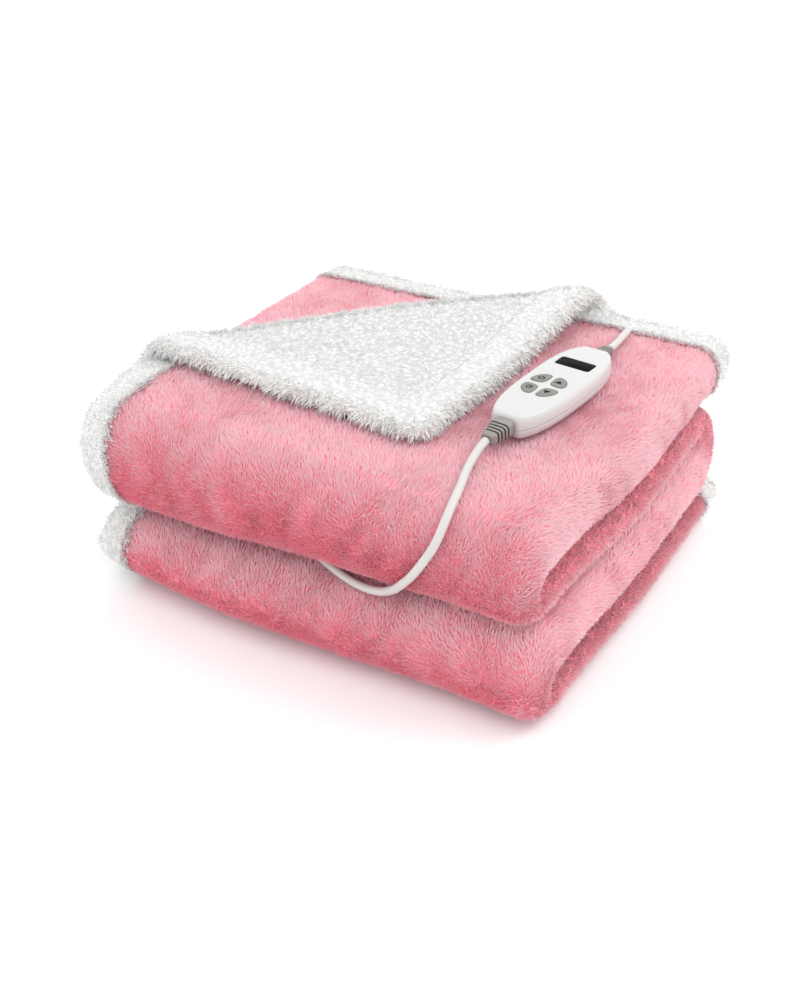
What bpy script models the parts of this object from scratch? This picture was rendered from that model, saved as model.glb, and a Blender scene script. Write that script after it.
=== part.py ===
"""Heated throw, folded, with its corded hand controller. Metres, +Z up.

The throw is two cloths of one size: a pink plush face, and a white sherpa backing whose edge wraps round to
the face side as a hem. Both lie together. They are folded in three across, like a letter, and then in four
back and forth, which makes two rolls at the front. The far left corner of the top layer is turned back.

X runs along the rolls, -Y is the front and the throw rests on z = 0. Each cloth is cut as a flat slab in
pattern space (u across the cloth, v along it, o above it on the pink side) and one function folds it.
"""

from collections import namedtuple
from math import atan2, cos, hypot, pi, radians, sin, sqrt

import bmesh
import bpy
from mathutils import Matrix, Vector

# ---- Cloth -------------------------------------------------------------------------------------------
PLUSH = 0.0052  # pink cloth with its pile
SHERPA = 0.0075  # white cloth with its curls
SEAM_GAP = 0.0003  # between the two cloths
LAYER_GAP = 0.0008  # between folded layers
BACK_TO_BACK = 0.0012  # between the two sherpa sides that meet in the letter fold
HEM = 0.033  # the band where the sherpa wraps round the edge of the plush
HEM_ROUND = 0.009  # its rounded rim
HEM_MIDDLE = -0.0012  # height of the rim's middle
HEM_STEP = 0.0004  # width of the step from the hem down to the seam
HEM_RISE = 0.0028  # how far the turned corner's hem stands above the sherpa beside it
HEM_RISE_IN = 0.020  # the length past the crease over which it comes to that
CORNER_ROUND = 0.022  # radius of the cloth's cut corners

# ---- Letter fold: heights of the three layers' seams above the underside of a leg -------------------------
LOW = PLUSH
MIDDLE = LOW + SHERPA + BACK_TO_BACK + SHERPA
TOP = MIDDLE + PLUSH + LAYER_GAP + SHERPA
LEG = TOP + PLUSH  # thickness of one leg
X_LEFT = -0.204  # centre line of the left turn
X_RIGHT = 0.199  # centre line of the right turn
TUCK = 0.005  # the tucked edge stops this far short of the right turn
LEFT_CENTRE = (LOW + MIDDLE) / 2
LEFT_RADIUS = (MIDDLE - LOW) / 2
RIGHT_CENTRE = (LOW + TOP) / 2
RIGHT_RADIUS = (TOP - LOW) / 2
DROOP_RADIUS = TOP - LEFT_CENTRE  # the top layer's free edge hangs round the left turn
DROOP = 0.021

# ---- Back and forth --------------------------------------------------------------------------------------
Y_FRONT = -0.158  # centre line of the front turns
Y_BACK = 0.146  # centre line of the back turn
Y_END = 0.207  # far edge of the top layer
Y_END_LOW = 0.196  # far edge of the lowest leg
FAN = 0.20  # how much further back a layer's far edge reaches for each metre that it lies lower
FRONT_INSIDE = 0.001  # inner radius of the front turns
BACK_INSIDE = 0.0048  # inner radius of the back turn: the gap that the mains lead runs through
ROLL_PITCH = 2 * LEG + 2 * FRONT_INSIDE
Z_ROLL_2 = LEG + FRONT_INSIDE
Z_GAP = ROLL_PITCH
Z_BACK = Z_GAP + BACK_INSIDE
Z_ROLL_1 = Z_GAP + 2 * BACK_INSIDE + LEG + FRONT_INSIDE
Z_LEG_1 = Z_ROLL_1 + FRONT_INSIDE
STACK = Z_LEG_1 + LEG

# ---- Turned-back corner: the crease runs between these two points of the top layer -----------------------
CREASE_LEFT = Vector((-0.224, -0.112))
CREASE_FAR = Vector((0.1150, 0.203))
RIDGE_RADIUS = (0.0068, 0.0126)  # at the crease's left end, and over its right half
FLAP_LEVEL = 2 * PLUSH + 0.0016  # seam of the flap above the seam of the layer it lies on
FLAP_SETTLE = 0.10  # the flap comes down from the ridge over this length
DROOP_FADE = (-0.045, -0.006)  # the drooping edge straightens between these distances from the crease

# ---- Settling of the whole stack ---------------------------------------------------------------------------
LOW_ROLL_SHIFT = 0.009  # the lower roll lies this far to the right
SHIFT_BAND = (0.050, 0.120)
GAP_CLOSED = 0.0062  # how much the gap closes to the front right
SIDE_SAG = 0.011  # on the right the upper leg of a roll hangs this far over the lower one
NEAR_CORNER_IN = (0.008, 0.014)  # the lower and the upper roll are pulled in at their near right corner
FRONT_BULGE = (0.015, 0.006)  # the lower and the upper roll bulge forward, most left of the middle
CREASE_SAG = 0.020  # the upper roll hangs over the lower one at the front left
SAG_BAND = (0.012, 0.162)
CROWN = (0.0022, 0.0035)  # the top's gentle rise in the middle, and its fall to the front
RIPPLE = 0.0025  # of the front's outline, over its width and height
FULL = (-0.23, 0.17)  # the front's bulge grows from this x, over this length
FRONT_BAND = (0.02, 0.17)  # the front's shapes fade in from this y, over this length
RIGHT_BAND = (0.02, 0.16)
SAG_RIGHT = (0.10, 0.11)
SAG_LEFT = (0.20, 0.37)
SAG_FRONT = (0.06, 0.11)
CLOSED_BAND = (0.01, 0.11)
CLOSED_BACK = (0.02, 0.15)

# Every layer has its grid lines at the same places, so that close layers' flat facets do not meet.
X_LINES = (-0.112, -0.020, 0.055, 0.110, 0.161)
Y_LINES = (-0.108, -0.050, 0.040)
Run = namedtuple("Run", "name length lines")


def turn(name, radius, cells):
    """A half turn with evenly spaced grid lines."""
    return Run(name, pi * radius, [pi * radius * i / cells for i in range(1, cells)])


ACROSS = (
    Run("tucked layer", X_RIGHT - TUCK - X_LEFT, [X_RIGHT - TUCK - x for x in X_LINES]),
    turn("left turn", LEFT_RADIUS, 4),
    Run("low layer", X_RIGHT - X_LEFT, [x - X_LEFT for x in X_LINES]),
    turn("right turn", RIGHT_RADIUS, 6),
    Run("top layer", X_RIGHT - X_LEFT, [X_RIGHT - x for x in X_LINES]),
    Run("droop", DROOP, []),
)
ALONG = (
    Run("leg 1", Y_END - Y_FRONT, [Y_END - y for y in (*Y_LINES, Y_BACK)]),
    turn("front turn 1", FRONT_INSIDE + LEG / 2, 8),
    Run("leg 2", Y_BACK - Y_FRONT, [y - Y_FRONT for y in Y_LINES]),
    turn("back turn", BACK_INSIDE + LEG / 2, 6),
    Run("leg 3", Y_BACK - Y_FRONT, [Y_BACK - y for y in Y_LINES]),
    turn("front turn 2", FRONT_INSIDE + LEG / 2, 8),
    Run("leg 4", Y_END_LOW - Y_FRONT, [y - Y_FRONT for y in (*Y_LINES, Y_BACK)]),
)
WIDE = sum(run.length for run in ACROSS)
LONG = sum(run.length for run in ALONG)
TOP_LAYER_START = sum(run.length for run in ACROSS[:4])
HEM_LINES = (0.0, HEM_ROUND / 2, HEM - HEM_STEP, HEM)

# ---- Controller --------------------------------------------------------------------------------------------
BOX_CENTRE = (0.1265, 0.0068)
BOX_TURN = radians(-6)
BOX_HALF_LENGTH = 0.0800
BOX_HALF_WIDTH = 0.0266
BOX_SQUARENESS = 2.7  # exponent of its outline: 2 is an ellipse
BOX_TAPER = 0.05  # it is this much wider at the rear than in the middle
BOX_FRONT = -0.0755  # flat end that the front relief covers
BOX_REAR = 0.0775
BOX_POINTS = 44
Row = namedtuple("Row", "height scale")
BASE_ROWS = (Row(0.0, 0.90), Row(0.0020, 0.965), Row(0.0060, 0.99), Row(0.0078, 1.0))
COVER_ROWS = (
    Row(0.0082, 1.0),
    Row(0.0140, 0.985),
    Row(0.0166, 0.965),
    Row(0.0180, 0.930),
    Row(0.0192, 0.905),
    Row(0.0196, 0.870),
)
FACE_Z = COVER_ROWS[-1].height
WINDOW = (0.0330, 0.0160, 0.0012)  # width, length, thickness
WINDOW_Y = 0.0370
WINDOW_CORNER = 0.0026
KEY_CENTRE = (-0.0012, -0.0134)
KEY_REACH = 0.0115  # centre of a petal from the middle of the four
KEY_HALF = 0.0062  # half its depth, outwards
KEY_SWEEP = radians(39)  # half the angle it covers
KEY_STRETCH = 1.24  # the four petals stand in a ring that is this much longer than wide
KEY_THICK = 0.0032
KEY_PROUD = 0.0007
KEY_GAP = 0.0004
KEY_UNDER = 0.0013  # free depth below a key
KEY_NAMES = ("key_power", "key_up", "key_down", "key_timer")
KEY_ANGLES = (135, 45, -45, -135)

# ---- Leads -----------------------------------------------------------------------------------------------
LEAD = 0.0070  # diameter
TOUCH = 0.0003  # gap between pieces that touch
RELIEF_Z = 0.0098  # height of the reliefs' axis in the controller
Relief = namedtuple("Relief", "length wide narrow collar ribs bend")  # wide and narrow: (width, height)
FRONT_RELIEF = Relief(0.0240, (0.0180, 0.0140), (0.0108, 0.0100), 0.0070, 4, 0.0015)
REAR_RELIEF = Relief(0.0260, (0.0140, 0.0118), (0.0100, 0.0094), 0.0070, 3, 0.0025)
PLUG_RELIEF = Relief(0.0240, (0.0140, 0.0130), (0.0100, 0.0100), 0.0030, 4, 0.0)
FRONT_DIP = radians(-7)
REAR_DIP = radians(-8)

COIL_CENTRE = (-0.075, 0.2900)
COIL_RADIUS = 0.0385  # to the middle of the turns
COIL_HALF_WIDTH = 0.0108
COIL_HEIGHT = 0.0144
COIL_CORNER = 0.0034
TIE_ANGLE = radians(205)
TIE_THICK = 0.0011
TIE_WIDTH = 0.007
TIE_ROOM = 0.0009  # at the sides, because the ring curves through the straight strap
COIL_Z = TIE_THICK + TOUCH  # the coil lies on its tie

PLUG_BODY = (0.0315, 0.0240, 0.0180)  # length, width, height
PLUG_PLACE = (0.0200, 0.2460)  # where its relief meets the lead
PLUG_TURN = radians(90)
BLADE = (0.0160, 0.0015, 0.0063)
BLADE_SPACING = 0.0127

# Centre line of the mains lead, from the front relief over the top and down the front, into the gap between
# the rolls, out of it on the left and along the floor to the coil.
MAINS_ROUTE = (
    (0.1144, -0.0929, 0.1795),
    (0.1131, -0.1020, 0.1765),
    (0.1135, -0.1130, 0.1735),
    (0.1160, -0.1290, 0.1712),
    (0.1227, -0.1531, 0.1703),
    (0.1275, -0.1751, 0.1678),
    (0.1293, -0.1902, 0.1606),
    (0.1282, -0.2012, 0.1489),
    (0.1228, -0.2072, 0.1364),
    (0.1130, -0.2089, 0.1200),
    (0.0990, -0.2035, 0.1020),
    (0.0895, -0.1985, 0.0920),
    (0.0785, -0.1935, 0.0836),
    (0.0660, -0.1892, 0.0780),
    (0.0530, -0.1855, 0.0752),
    (0.0400, -0.1815, 0.0742),
    (0.0250, -0.1765, 0.0748),
    (0.0080, -0.1690, 0.0748),
    (-0.0150, -0.1570, 0.0752),
    (-0.0450, -0.1390, 0.0768),
    (-0.0780, -0.1160, 0.0804),
    (-0.1120, -0.0890, 0.0833),
    (-0.1450, -0.0620, 0.0865),
    (-0.1750, -0.0350, 0.0878),
    (-0.2000, -0.0080, 0.0872),
    (-0.2180, 0.0150, 0.0855),
    (-0.2290, 0.0380, 0.0790),
    (-0.2340, 0.0620, 0.0660),
    (-0.2360, 0.0860, 0.0490),
    (-0.2365, 0.1100, 0.0310),
    (-0.2360, 0.1350, 0.0155),
    (-0.2335, 0.1610, 0.0065),
    (-0.2265, 0.1870, 0.0039),
    (-0.2125, 0.2110, 0.0038),
    (-0.1890, 0.2290, 0.0038),
    (-0.1600, 0.2390, 0.0038),
    (-0.1320, 0.2430, 0.0042),
    (-0.1020, 0.2445, 0.0049),
)
TAIL_ROUTE = (
    (-0.0482, 0.2445, 0.0119),
    (-0.0350, 0.2447, 0.0116),
    (-0.0200, 0.2451, 0.0108),
    (-0.0050, 0.2456, 0.0099),
    (0.0100, 0.2459, 0.0095),
    (0.0197, 0.2460, 0.0094),
)
SHORT_ROUTE = (
    (0.1347, 0.1106, 0.1789),
    (0.1343, 0.1200, 0.1779),
    (0.1338, 0.1350, 0.1769),
    (0.1332, 0.1500, 0.1769),
    (0.1326, 0.1640, 0.1770),
)


def smooth(t):
    """Smooth step from 0 to 1."""
    t = min(max(t, 0.0), 1.0)
    return t * t * (3 - 2 * t)


def within(runs, distance):
    """The run that a pattern distance falls in, as (index, distance from its start)."""
    for index, run in enumerate(runs[:-1]):
        if distance <= run.length:
            return index, distance
        distance -= run.length
    return len(runs) - 1, distance


# ---- Folding ---------------------------------------------------------------------------------------------


def across(u, o):
    """Letter fold: x, height in the leg, and height of the layer's seam."""
    index, d = within(ACROSS, u)
    if index == 0:
        return X_RIGHT - TUCK - d, MIDDLE + o, MIDDLE
    if index == 1:
        a = d / LEFT_RADIUS
        r = LEFT_RADIUS + o
        return X_LEFT - r * sin(a), LEFT_CENTRE + r * cos(a), LEFT_CENTRE + LEFT_RADIUS * cos(a)
    if index == 2:
        return X_LEFT + d, LOW - o, LOW
    if index == 3:
        a = d / RIGHT_RADIUS
        r = RIGHT_RADIUS + o
        return X_RIGHT + r * sin(a), RIGHT_CENTRE - r * cos(a), RIGHT_CENTRE - RIGHT_RADIUS * cos(a)
    if index == 4:
        return X_RIGHT - d, TOP + o, TOP
    a = d / DROOP_RADIUS
    r = DROOP_RADIUS + o
    return X_LEFT - r * sin(a), LEFT_CENTRE + r * cos(a), TOP


def along(v, h, level):
    """Back and forth: y and z of a point at height h in its leg."""
    index, d = within(ALONG, v)
    fan = FAN * (TOP - level)
    if index == 0:
        length = ALONG[0].length
        return Y_FRONT + (length - d) * (length + fan) / length, Z_LEG_1 + h
    if index in (1, 5):
        a = d / (FRONT_INSIDE + LEG / 2)
        centre = Z_ROLL_1 if index == 1 else Z_ROLL_2
        r = FRONT_INSIDE + h
        return Y_FRONT - r * sin(a), centre + r * cos(a)
    if index == 2:
        return Y_FRONT + d, Z_ROLL_1 - FRONT_INSIDE - h
    if index == 3:
        a = d / (BACK_INSIDE + LEG / 2)
        r = BACK_INSIDE + LEG - h
        return Y_BACK + r * sin(a), Z_BACK + r * cos(a)
    if index == 4:
        return Y_BACK - d, Z_ROLL_2 + FRONT_INSIDE + h
    length = ALONG[6].length
    return Y_FRONT + d * (length + fan) / length, Z_ROLL_2 - FRONT_INSIDE - h


def from_crease(u, v):
    """Flat place (x, y) on the top layer, and its distance past the turned corner's crease."""
    flat = Vector((X_RIGHT - (u - TOP_LAYER_START), Y_END - v))
    run = (CREASE_FAR - CREASE_LEFT).normalized()
    past = Vector((-run.y, run.x))
    return flat, past, (flat - CREASE_LEFT).dot(past)


def ridge_radius(foot):
    """The ridge rises from its left end to its middle."""
    share = (foot - CREASE_LEFT).length / (CREASE_FAR - CREASE_LEFT).length
    return between(RIDGE_RADIUS, smooth(share * 1.4))


def on_top(u, v):
    """True on the top layer of leg 1, where the corner is turned back."""
    return u > TOP_LAYER_START and v < ALONG[0].length


def top_layer(u, v, o):
    """The top layer of leg 1: its drooping left edge, and the corner that is turned back over the crease."""
    flat, past, s = from_crease(u, v)
    x, y = flat
    h = TOP + o
    hang = 1 - smooth((s - DROOP_FADE[0]) / (DROOP_FADE[1] - DROOP_FADE[0]))
    if x < X_LEFT and hang > 1e-4:
        radius = DROOP_RADIUS / hang
        a = (X_LEFT - x) / radius
        x = X_LEFT - (radius + o) * sin(a)
        h = TOP - radius + (radius + o) * cos(a)
    if s > 0:
        foot = flat - past * s
        radius = ridge_radius(foot)
        if s < pi * radius:
            a = s / radius
            x, y = foot + past * (radius - o) * sin(a)
            h = TOP + radius - (radius - o) * cos(a)
        else:
            back = s - pi * radius
            x, y = foot - past * back
            drop = (2 * radius - FLAP_LEVEL) * smooth(back / FLAP_SETTLE)
            h = TOP + 2 * radius - drop - o
    return x, y, Z_LEG_1 + h


def bump(t):
    """Smooth hill, 0 at both ends of 0..1 and 1 in the middle."""
    return sin(pi * min(max(t, 0.0), 1.0)) ** 2


def between(pair, share):
    return pair[0] + (pair[1] - pair[0]) * share


def settle(x, y, z):
    """Unevenness of the stack: smooth, and none at the floor, so that no two layers meet."""
    high = z / STACK
    upper = smooth((z - SHIFT_BAND[0]) / (SHIFT_BAND[1] - SHIFT_BAND[0]))
    front = smooth((FRONT_BAND[0] - y) / FRONT_BAND[1])

    start = 0.0 if z < Z_GAP else Z_GAP + 2 * BACK_INSIDE
    side_sag = SIDE_SAG * smooth((x - SAG_RIGHT[0]) / SAG_RIGHT[1]) * bump((z - start) / ROLL_PITCH)
    hang = CREASE_SAG * smooth((SAG_LEFT[0] - x) / SAG_LEFT[1]) * smooth((-SAG_FRONT[0] - y) / SAG_FRONT[1])
    hang *= bump((z - SAG_BAND[0]) / (SAG_BAND[1] - SAG_BAND[0]))
    closed = smooth((x + CLOSED_BAND[0]) / CLOSED_BAND[1])
    closed *= 1 - 0.85 * smooth((y + CLOSED_BACK[0]) / CLOSED_BACK[1])
    in_gap = min(max((z - Z_GAP) / (2 * BACK_INSIDE), 0.0), 1.0)
    crown = CROWN[0] * cos(7.5 * x + 0.6) * cos(6.0 * y) - CROWN[1] * smooth((-0.10 - y) / 0.09)
    lift = high * crown - GAP_CLOSED * closed * in_gap - side_sag - hang

    bulge = between(FRONT_BULGE, upper) * smooth((x - FULL[0]) / FULL[1]) * (1 - 0.45 * smooth(x / 0.21))
    ripple = RIPPLE * min(6 * high, 1.0) * sin(11.0 * x + 18.0 * z)
    corner_in = between(NEAR_CORNER_IN, upper) * smooth((x - RIGHT_BAND[0]) / RIGHT_BAND[1])
    slide = LOW_ROLL_SHIFT * (1 - upper) - corner_in * front
    return x + slide, y - front * (bulge - ripple), z + lift


def round_corner(u, v):
    """The cloth's four cut corners are rounded."""
    du = min(u, WIDE - u)
    dv = min(v, LONG - v)
    if du >= CORNER_ROUND or dv >= CORNER_ROUND:
        return u, v
    a, b = CORNER_ROUND - du, CORNER_ROUND - dv
    pull = max(a, b) / hypot(a, b)
    du, dv = CORNER_ROUND - a * pull, CORNER_ROUND - b * pull
    return (du if u < WIDE / 2 else WIDE - du), (dv if v < LONG / 2 else LONG - dv)


def fold(u, v, o):
    """Pattern space to the folded throw."""
    u, v = round_corner(u, v)
    if on_top(u, v):
        return settle(*top_layer(u, v, o))
    x, h, level = across(u, o)
    y, z = along(v, h, level)
    return settle(x, y, z)


# ---- Cloth solids ----------------------------------------------------------------------------------------


def to_edge(u, v):
    return min(u, WIDE - u, v, LONG - v)


def rim(edge):
    """Share of the full thickness at this distance from the cut edge."""
    t = 1 - min(edge / HEM_ROUND, 1.0)
    return max(sqrt(max(1 - t * t, 0.0)), 0.28)


def plush_under(u, v):
    return SEAM_GAP / 2


def plush_over(u, v):
    return PLUSH


def sherpa_under(u, v):
    edge = to_edge(u, v)
    if edge > HEM - HEM_STEP / 2:
        return -SHERPA
    rise = HEM_RISE * smooth(from_crease(u, v)[2] / HEM_RISE_IN) if on_top(u, v) else 0.0
    return HEM_MIDDLE - (SHERPA + rise + HEM_MIDDLE) * rim(edge)


def sherpa_over(u, v):
    edge = to_edge(u, v)
    if edge > HEM - HEM_STEP / 2:
        return -SEAM_GAP / 2
    return HEM_MIDDLE + (PLUSH - HEM_MIDDLE) * rim(edge)


def pattern_lines(runs, edge, border):
    """Grid lines across or along the pattern, from edge to edge, with the hem's own lines at both ends."""
    total = sum(run.length for run in runs)
    lines = list(border) + [total - line for line in border]
    start = 0.0
    for run in runs:
        lines += [start] + [start + line for line in run.lines]
        start += run.length
    lines = sorted(line for line in lines if edge - 1e-6 <= line <= total - edge + 1e-6)
    kept = [lines[0]]
    for line in lines[1:]:
        if line - kept[-1] > HEM_STEP * 0.9:
            kept.append(line)
    return kept


def crease_lines():
    """Distances from the crease at which the turned corner needs a row of points."""
    turn = pi * RIDGE_RADIUS[1]
    ridge = [turn * i / 6 for i in range(7)]
    return [DROOP_FADE[0], DROOP_FADE[0] / 2] + ridge + [turn + FLAP_SETTLE / 2, turn + FLAP_SETTLE]


def turned_over(face):
    """True on every other layer and leg, where the pattern runs the other way."""
    centre = face.calc_center_median()
    return (within(ACROSS, centre.x)[0] // 2 + within(ALONG, centre.y)[0] // 2) % 2 == 1


def cloth(name, edge, border, under, over, material):
    """One cloth: a flat slab in pattern space, cut at the corner's crease, then folded."""
    us = pattern_lines(ACROSS, edge, border)
    vs = pattern_lines(ALONG, edge, border)
    bm = bmesh.new()
    bmesh.ops.create_grid(bm, x_segments=len(us) - 1, y_segments=len(vs) - 1, size=0.5)
    for vert in bm.verts:
        vert.co.x = us[round((vert.co.x + 0.5) * (len(us) - 1))]
        vert.co.y = vs[round((vert.co.y + 0.5) * (len(vs) - 1))]
    for distance in crease_lines():
        faces = [f for f in bm.faces if on_top(f.calc_center_median().x, f.calc_center_median().y)]
        near = set(faces)
        for f in faces:
            near.update(f.edges)
            near.update(f.verts)
        run = (CREASE_FAR - CREASE_LEFT).normalized()
        past = Vector((-run.y, run.x))
        point = CREASE_LEFT + past * distance
        place = Vector((TOP_LAYER_START + X_RIGHT - point.x, Y_END - point.y, 0.0))
        bmesh.ops.bisect_plane(
            bm, geom=list(near), dist=0.0006, plane_co=place, plane_no=Vector((-past.x, -past.y, 0.0))
        )
    turned = [f for f in bm.faces if turned_over(f)]
    plain = [f for f in bm.faces if not turned_over(f)]
    bmesh.ops.triangulate(bm, faces=turned, quad_method="ALTERNATE")
    bmesh.ops.triangulate(bm, faces=plain, quad_method="FIXED")
    low = bm.verts[:]
    grown = bmesh.ops.extrude_face_region(bm, geom=bm.faces[:] + bm.edges[:], use_keep_orig=True)
    high = [item for item in grown["geom"] if isinstance(item, bmesh.types.BMVert)]
    for verts, height in ((low, under), (high, over)):
        for vert in verts:
            vert.co.z = height(vert.co.x, vert.co.y)
    for vert in bm.verts:
        vert.co = fold(*vert.co)
    bmesh.ops.recalc_face_normals(bm, faces=bm.faces[:])
    return finish_mesh(name, bm, material)


# ---- Helpers for the hard pieces -------------------------------------------------------------------------


def finish_mesh(name, bm, material, place=None):
    mesh = bpy.data.meshes.new(name)
    bm.to_mesh(mesh)
    bm.free()
    mesh.shade_smooth()
    mesh.set_sharp_from_angle(angle=radians(38))
    obj = bpy.data.objects.new(name, mesh)
    obj.data.materials.append(material)
    bpy.context.scene.collection.children[COLLECTION].objects.link(obj)
    if place is not None:
        obj.matrix_world = place
    return obj


def make_material(name, colour, roughness, metallic=0.0):
    material = bpy.data.materials.new(name)
    material.use_nodes = True
    shader = material.node_tree.nodes["Principled BSDF"]
    shader.inputs["Base Color"].default_value = (*colour, 1.0)
    shader.inputs["Roughness"].default_value = roughness
    shader.inputs["Metallic"].default_value = metallic
    return material


def stack_up(name, outline, rows, material, place):
    """A flat outline raised in steps, each row at its own height and share of the outline's size."""
    bm = bmesh.new()
    verts = [bm.verts.new((x * rows[0].scale, y * rows[0].scale, rows[0].height)) for x, y in outline]
    face = bm.faces.new(verts)
    bm.normal_update()
    bm.faces.new([bm.verts.new(v.co) for v in reversed(verts)])
    for row, last in zip(rows[1:], rows[:-1]):
        grown = bmesh.ops.extrude_discrete_faces(bm, faces=[face])
        face = grown["faces"][0]
        for vert in face.verts:
            vert.co.x *= row.scale / last.scale
            vert.co.y *= row.scale / last.scale
            vert.co.z = row.height
    bmesh.ops.remove_doubles(bm, verts=bm.verts[:], dist=1e-6)
    bmesh.ops.recalc_face_normals(bm, faces=bm.faces[:])
    return finish_mesh(name, bm, material, place)


def cut(obj, cutter):
    modifier = obj.modifiers.new("cut " + cutter.name, "BOOLEAN")
    modifier.operation = "DIFFERENCE"
    modifier.object = cutter


def as_cutter(obj):
    obj.hide_render = True
    obj.display_type = "WIRE"
    bpy.context.scene.collection.children[COLLECTION].objects.unlink(obj)
    bpy.context.scene.collection.children[CUTTERS].objects.link(obj)


def spline_points(route, spacing):
    """Points at an even spacing on the smooth curve through the route's own points."""
    points = [Vector(p) for p in route]
    ends = [2 * points[0] - points[1]] + points + [2 * points[-1] - points[-2]]
    fine = []
    for i in range(1, len(ends) - 2):
        a, b, c, d = ends[i - 1 : i + 3]
        for step in range(24):
            t = step / 24
            square, cube = 2 * a - 5 * b + 4 * c - d, 3 * b - a - 3 * c + d
            fine.append(b + ((c - a) * t + square * t**2 + cube * t**3) / 2)
    fine.append(points[-1])
    total = sum((q - p).length for p, q in zip(fine, fine[1:]))
    count = max(2, round(total / spacing))
    kept, walked, target = [fine[0]], 0.0, total / count
    for p, q in zip(fine, fine[1:]):
        step = (q - p).length
        while walked + step >= target - 1e-9 and len(kept) < count:
            kept.append(p.lerp(q, (target - walked) / step))
            target += total / count
        walked += step
    return kept + [fine[-1]]


def tube(name, route, diameter, material):
    """A round lead along a smooth route, with filled caps."""
    curve = bpy.data.curves.new(name, "CURVE")
    curve.dimensions = "3D"
    curve.bevel_depth = diameter / 2
    curve.bevel_resolution = 2
    curve.use_fill_caps = True
    points = spline_points(route, 2 * diameter)
    spline = curve.splines.new("POLY")
    spline.points.add(len(points) - 1)
    for point, place in zip(spline.points, points):
        point.co = (*place, 1.0)
    obj = bpy.data.objects.new(name, curve)
    obj.data.materials.append(material)
    bpy.context.scene.collection.children[COLLECTION].objects.link(obj)
    return obj


# ---- Controller ------------------------------------------------------------------------------------------


def box_outline():
    """Plan of the controller: a squared ellipse, a little wider at the rear, with flat ends."""
    points = []
    for i in range(BOX_POINTS):
        a = 2 * pi * (i + 0.5) / BOX_POINTS
        c, s = cos(a), sin(a)
        x = BOX_HALF_WIDTH * abs(c) ** (2 / BOX_SQUARENESS) * (1 if c > 0 else -1)
        y = BOX_HALF_LENGTH * abs(s) ** (2 / BOX_SQUARENESS) * (1 if s > 0 else -1)
        x *= 1 + BOX_TAPER * y / BOX_HALF_LENGTH
        points.append((x, min(max(y, BOX_FRONT), BOX_REAR)))
    return points


def petal(angle, grow=0.0):
    """Plan of one key: a petal of a ring of four."""
    middle = radians(angle)
    points = []
    for i in range(20):
        a = 2 * pi * i / 20
        reach = KEY_REACH + (KEY_HALF + grow) * sin(a)
        turn = middle + (KEY_SWEEP + grow / KEY_REACH) * cos(a) * (0.90 + 0.10 * sin(a))
        points.append((reach * cos(turn), reach * sin(turn) * KEY_STRETCH))
    return points


def rounded_rectangle(width, length, corner):
    points = []
    for quarter in range(4):
        cx = (width / 2 - corner) * (1 if quarter in (0, 3) else -1)
        cy = (length / 2 - corner) * (1 if quarter < 2 else -1)
        for i in range(4):
            a = pi / 2 * (quarter + i / 3)
            points.append((cx + corner * cos(a), cy + corner * sin(a)))
    return points


def box_place(x=0.0, y=0.0, z=0.0):
    return BOX_PLACE @ Matrix.Translation((x, y, z))


def box_floor():
    """Highest point of the cloth under the controller, where its base rests."""
    reach = [i / 6 for i in range(-6, 7)]
    c, s = cos(BOX_TURN), sin(BOX_TURN)
    places = [
        (a * BOX_HALF_WIDTH * c - b * BOX_HALF_LENGTH * s, a * BOX_HALF_WIDTH * s + b * BOX_HALF_LENGTH * c)
        for a in reach
        for b in reach
    ]
    return max(settle(BOX_CENTRE[0] + x, BOX_CENTRE[1] + y, STACK)[2] for x, y in places)


def controller(materials):
    outline = box_outline()
    stack_up("controller_base", outline, BASE_ROWS, materials["shell"], box_place())
    cover = stack_up("controller_cover", outline, COVER_ROWS, materials["shell"], box_place())
    width, length, thick = WINDOW
    gap = 2 * TOUCH
    pane = rounded_rectangle(width, length, WINDOW_CORNER)
    hole = rounded_rectangle(width + gap, length + gap, WINDOW_CORNER + TOUCH)
    sunk = FACE_Z - thick
    plain = (Row(sunk, 1.0), Row(FACE_Z - 0.0001, 1.0))
    stack_up("display_window", pane, plain, materials["display"], box_place(0, WINDOW_Y))
    deep = (Row(sunk - TOUCH, 1.0), Row(FACE_Z + 0.005, 1.0))
    cutter = stack_up("display_recess", hole, deep, materials["shell"], box_place(0, WINDOW_Y))
    as_cutter(cutter)
    cut(cover, cutter)
    key_top = FACE_Z + KEY_PROUD
    key_rows = (
        Row(key_top - KEY_THICK, 1.0),
        Row(key_top - 0.0005, 1.0),
        Row(key_top, 0.975),
    )
    pocket_rows = (Row(key_top - KEY_THICK - KEY_UNDER, 1.0), Row(FACE_Z + 0.005, 1.0))
    for name, angle in zip(KEY_NAMES, KEY_ANGLES):
        middle = radians(angle)
        mx = KEY_REACH * cos(middle)
        my = KEY_REACH * sin(middle) * KEY_STRETCH
        own = [(x - mx, y - my) for x, y in petal(angle)]
        room = [(x - mx, y - my) for x, y in petal(angle, KEY_GAP)]
        place = box_place(KEY_CENTRE[0] + mx, KEY_CENTRE[1] + my)
        stack_up(name, own, key_rows, materials["key"], place)
        cutter = stack_up("pocket_" + name, room, pocket_rows, materials["shell"], place)
        as_cutter(cutter)
        cut(cover, cutter)


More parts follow.
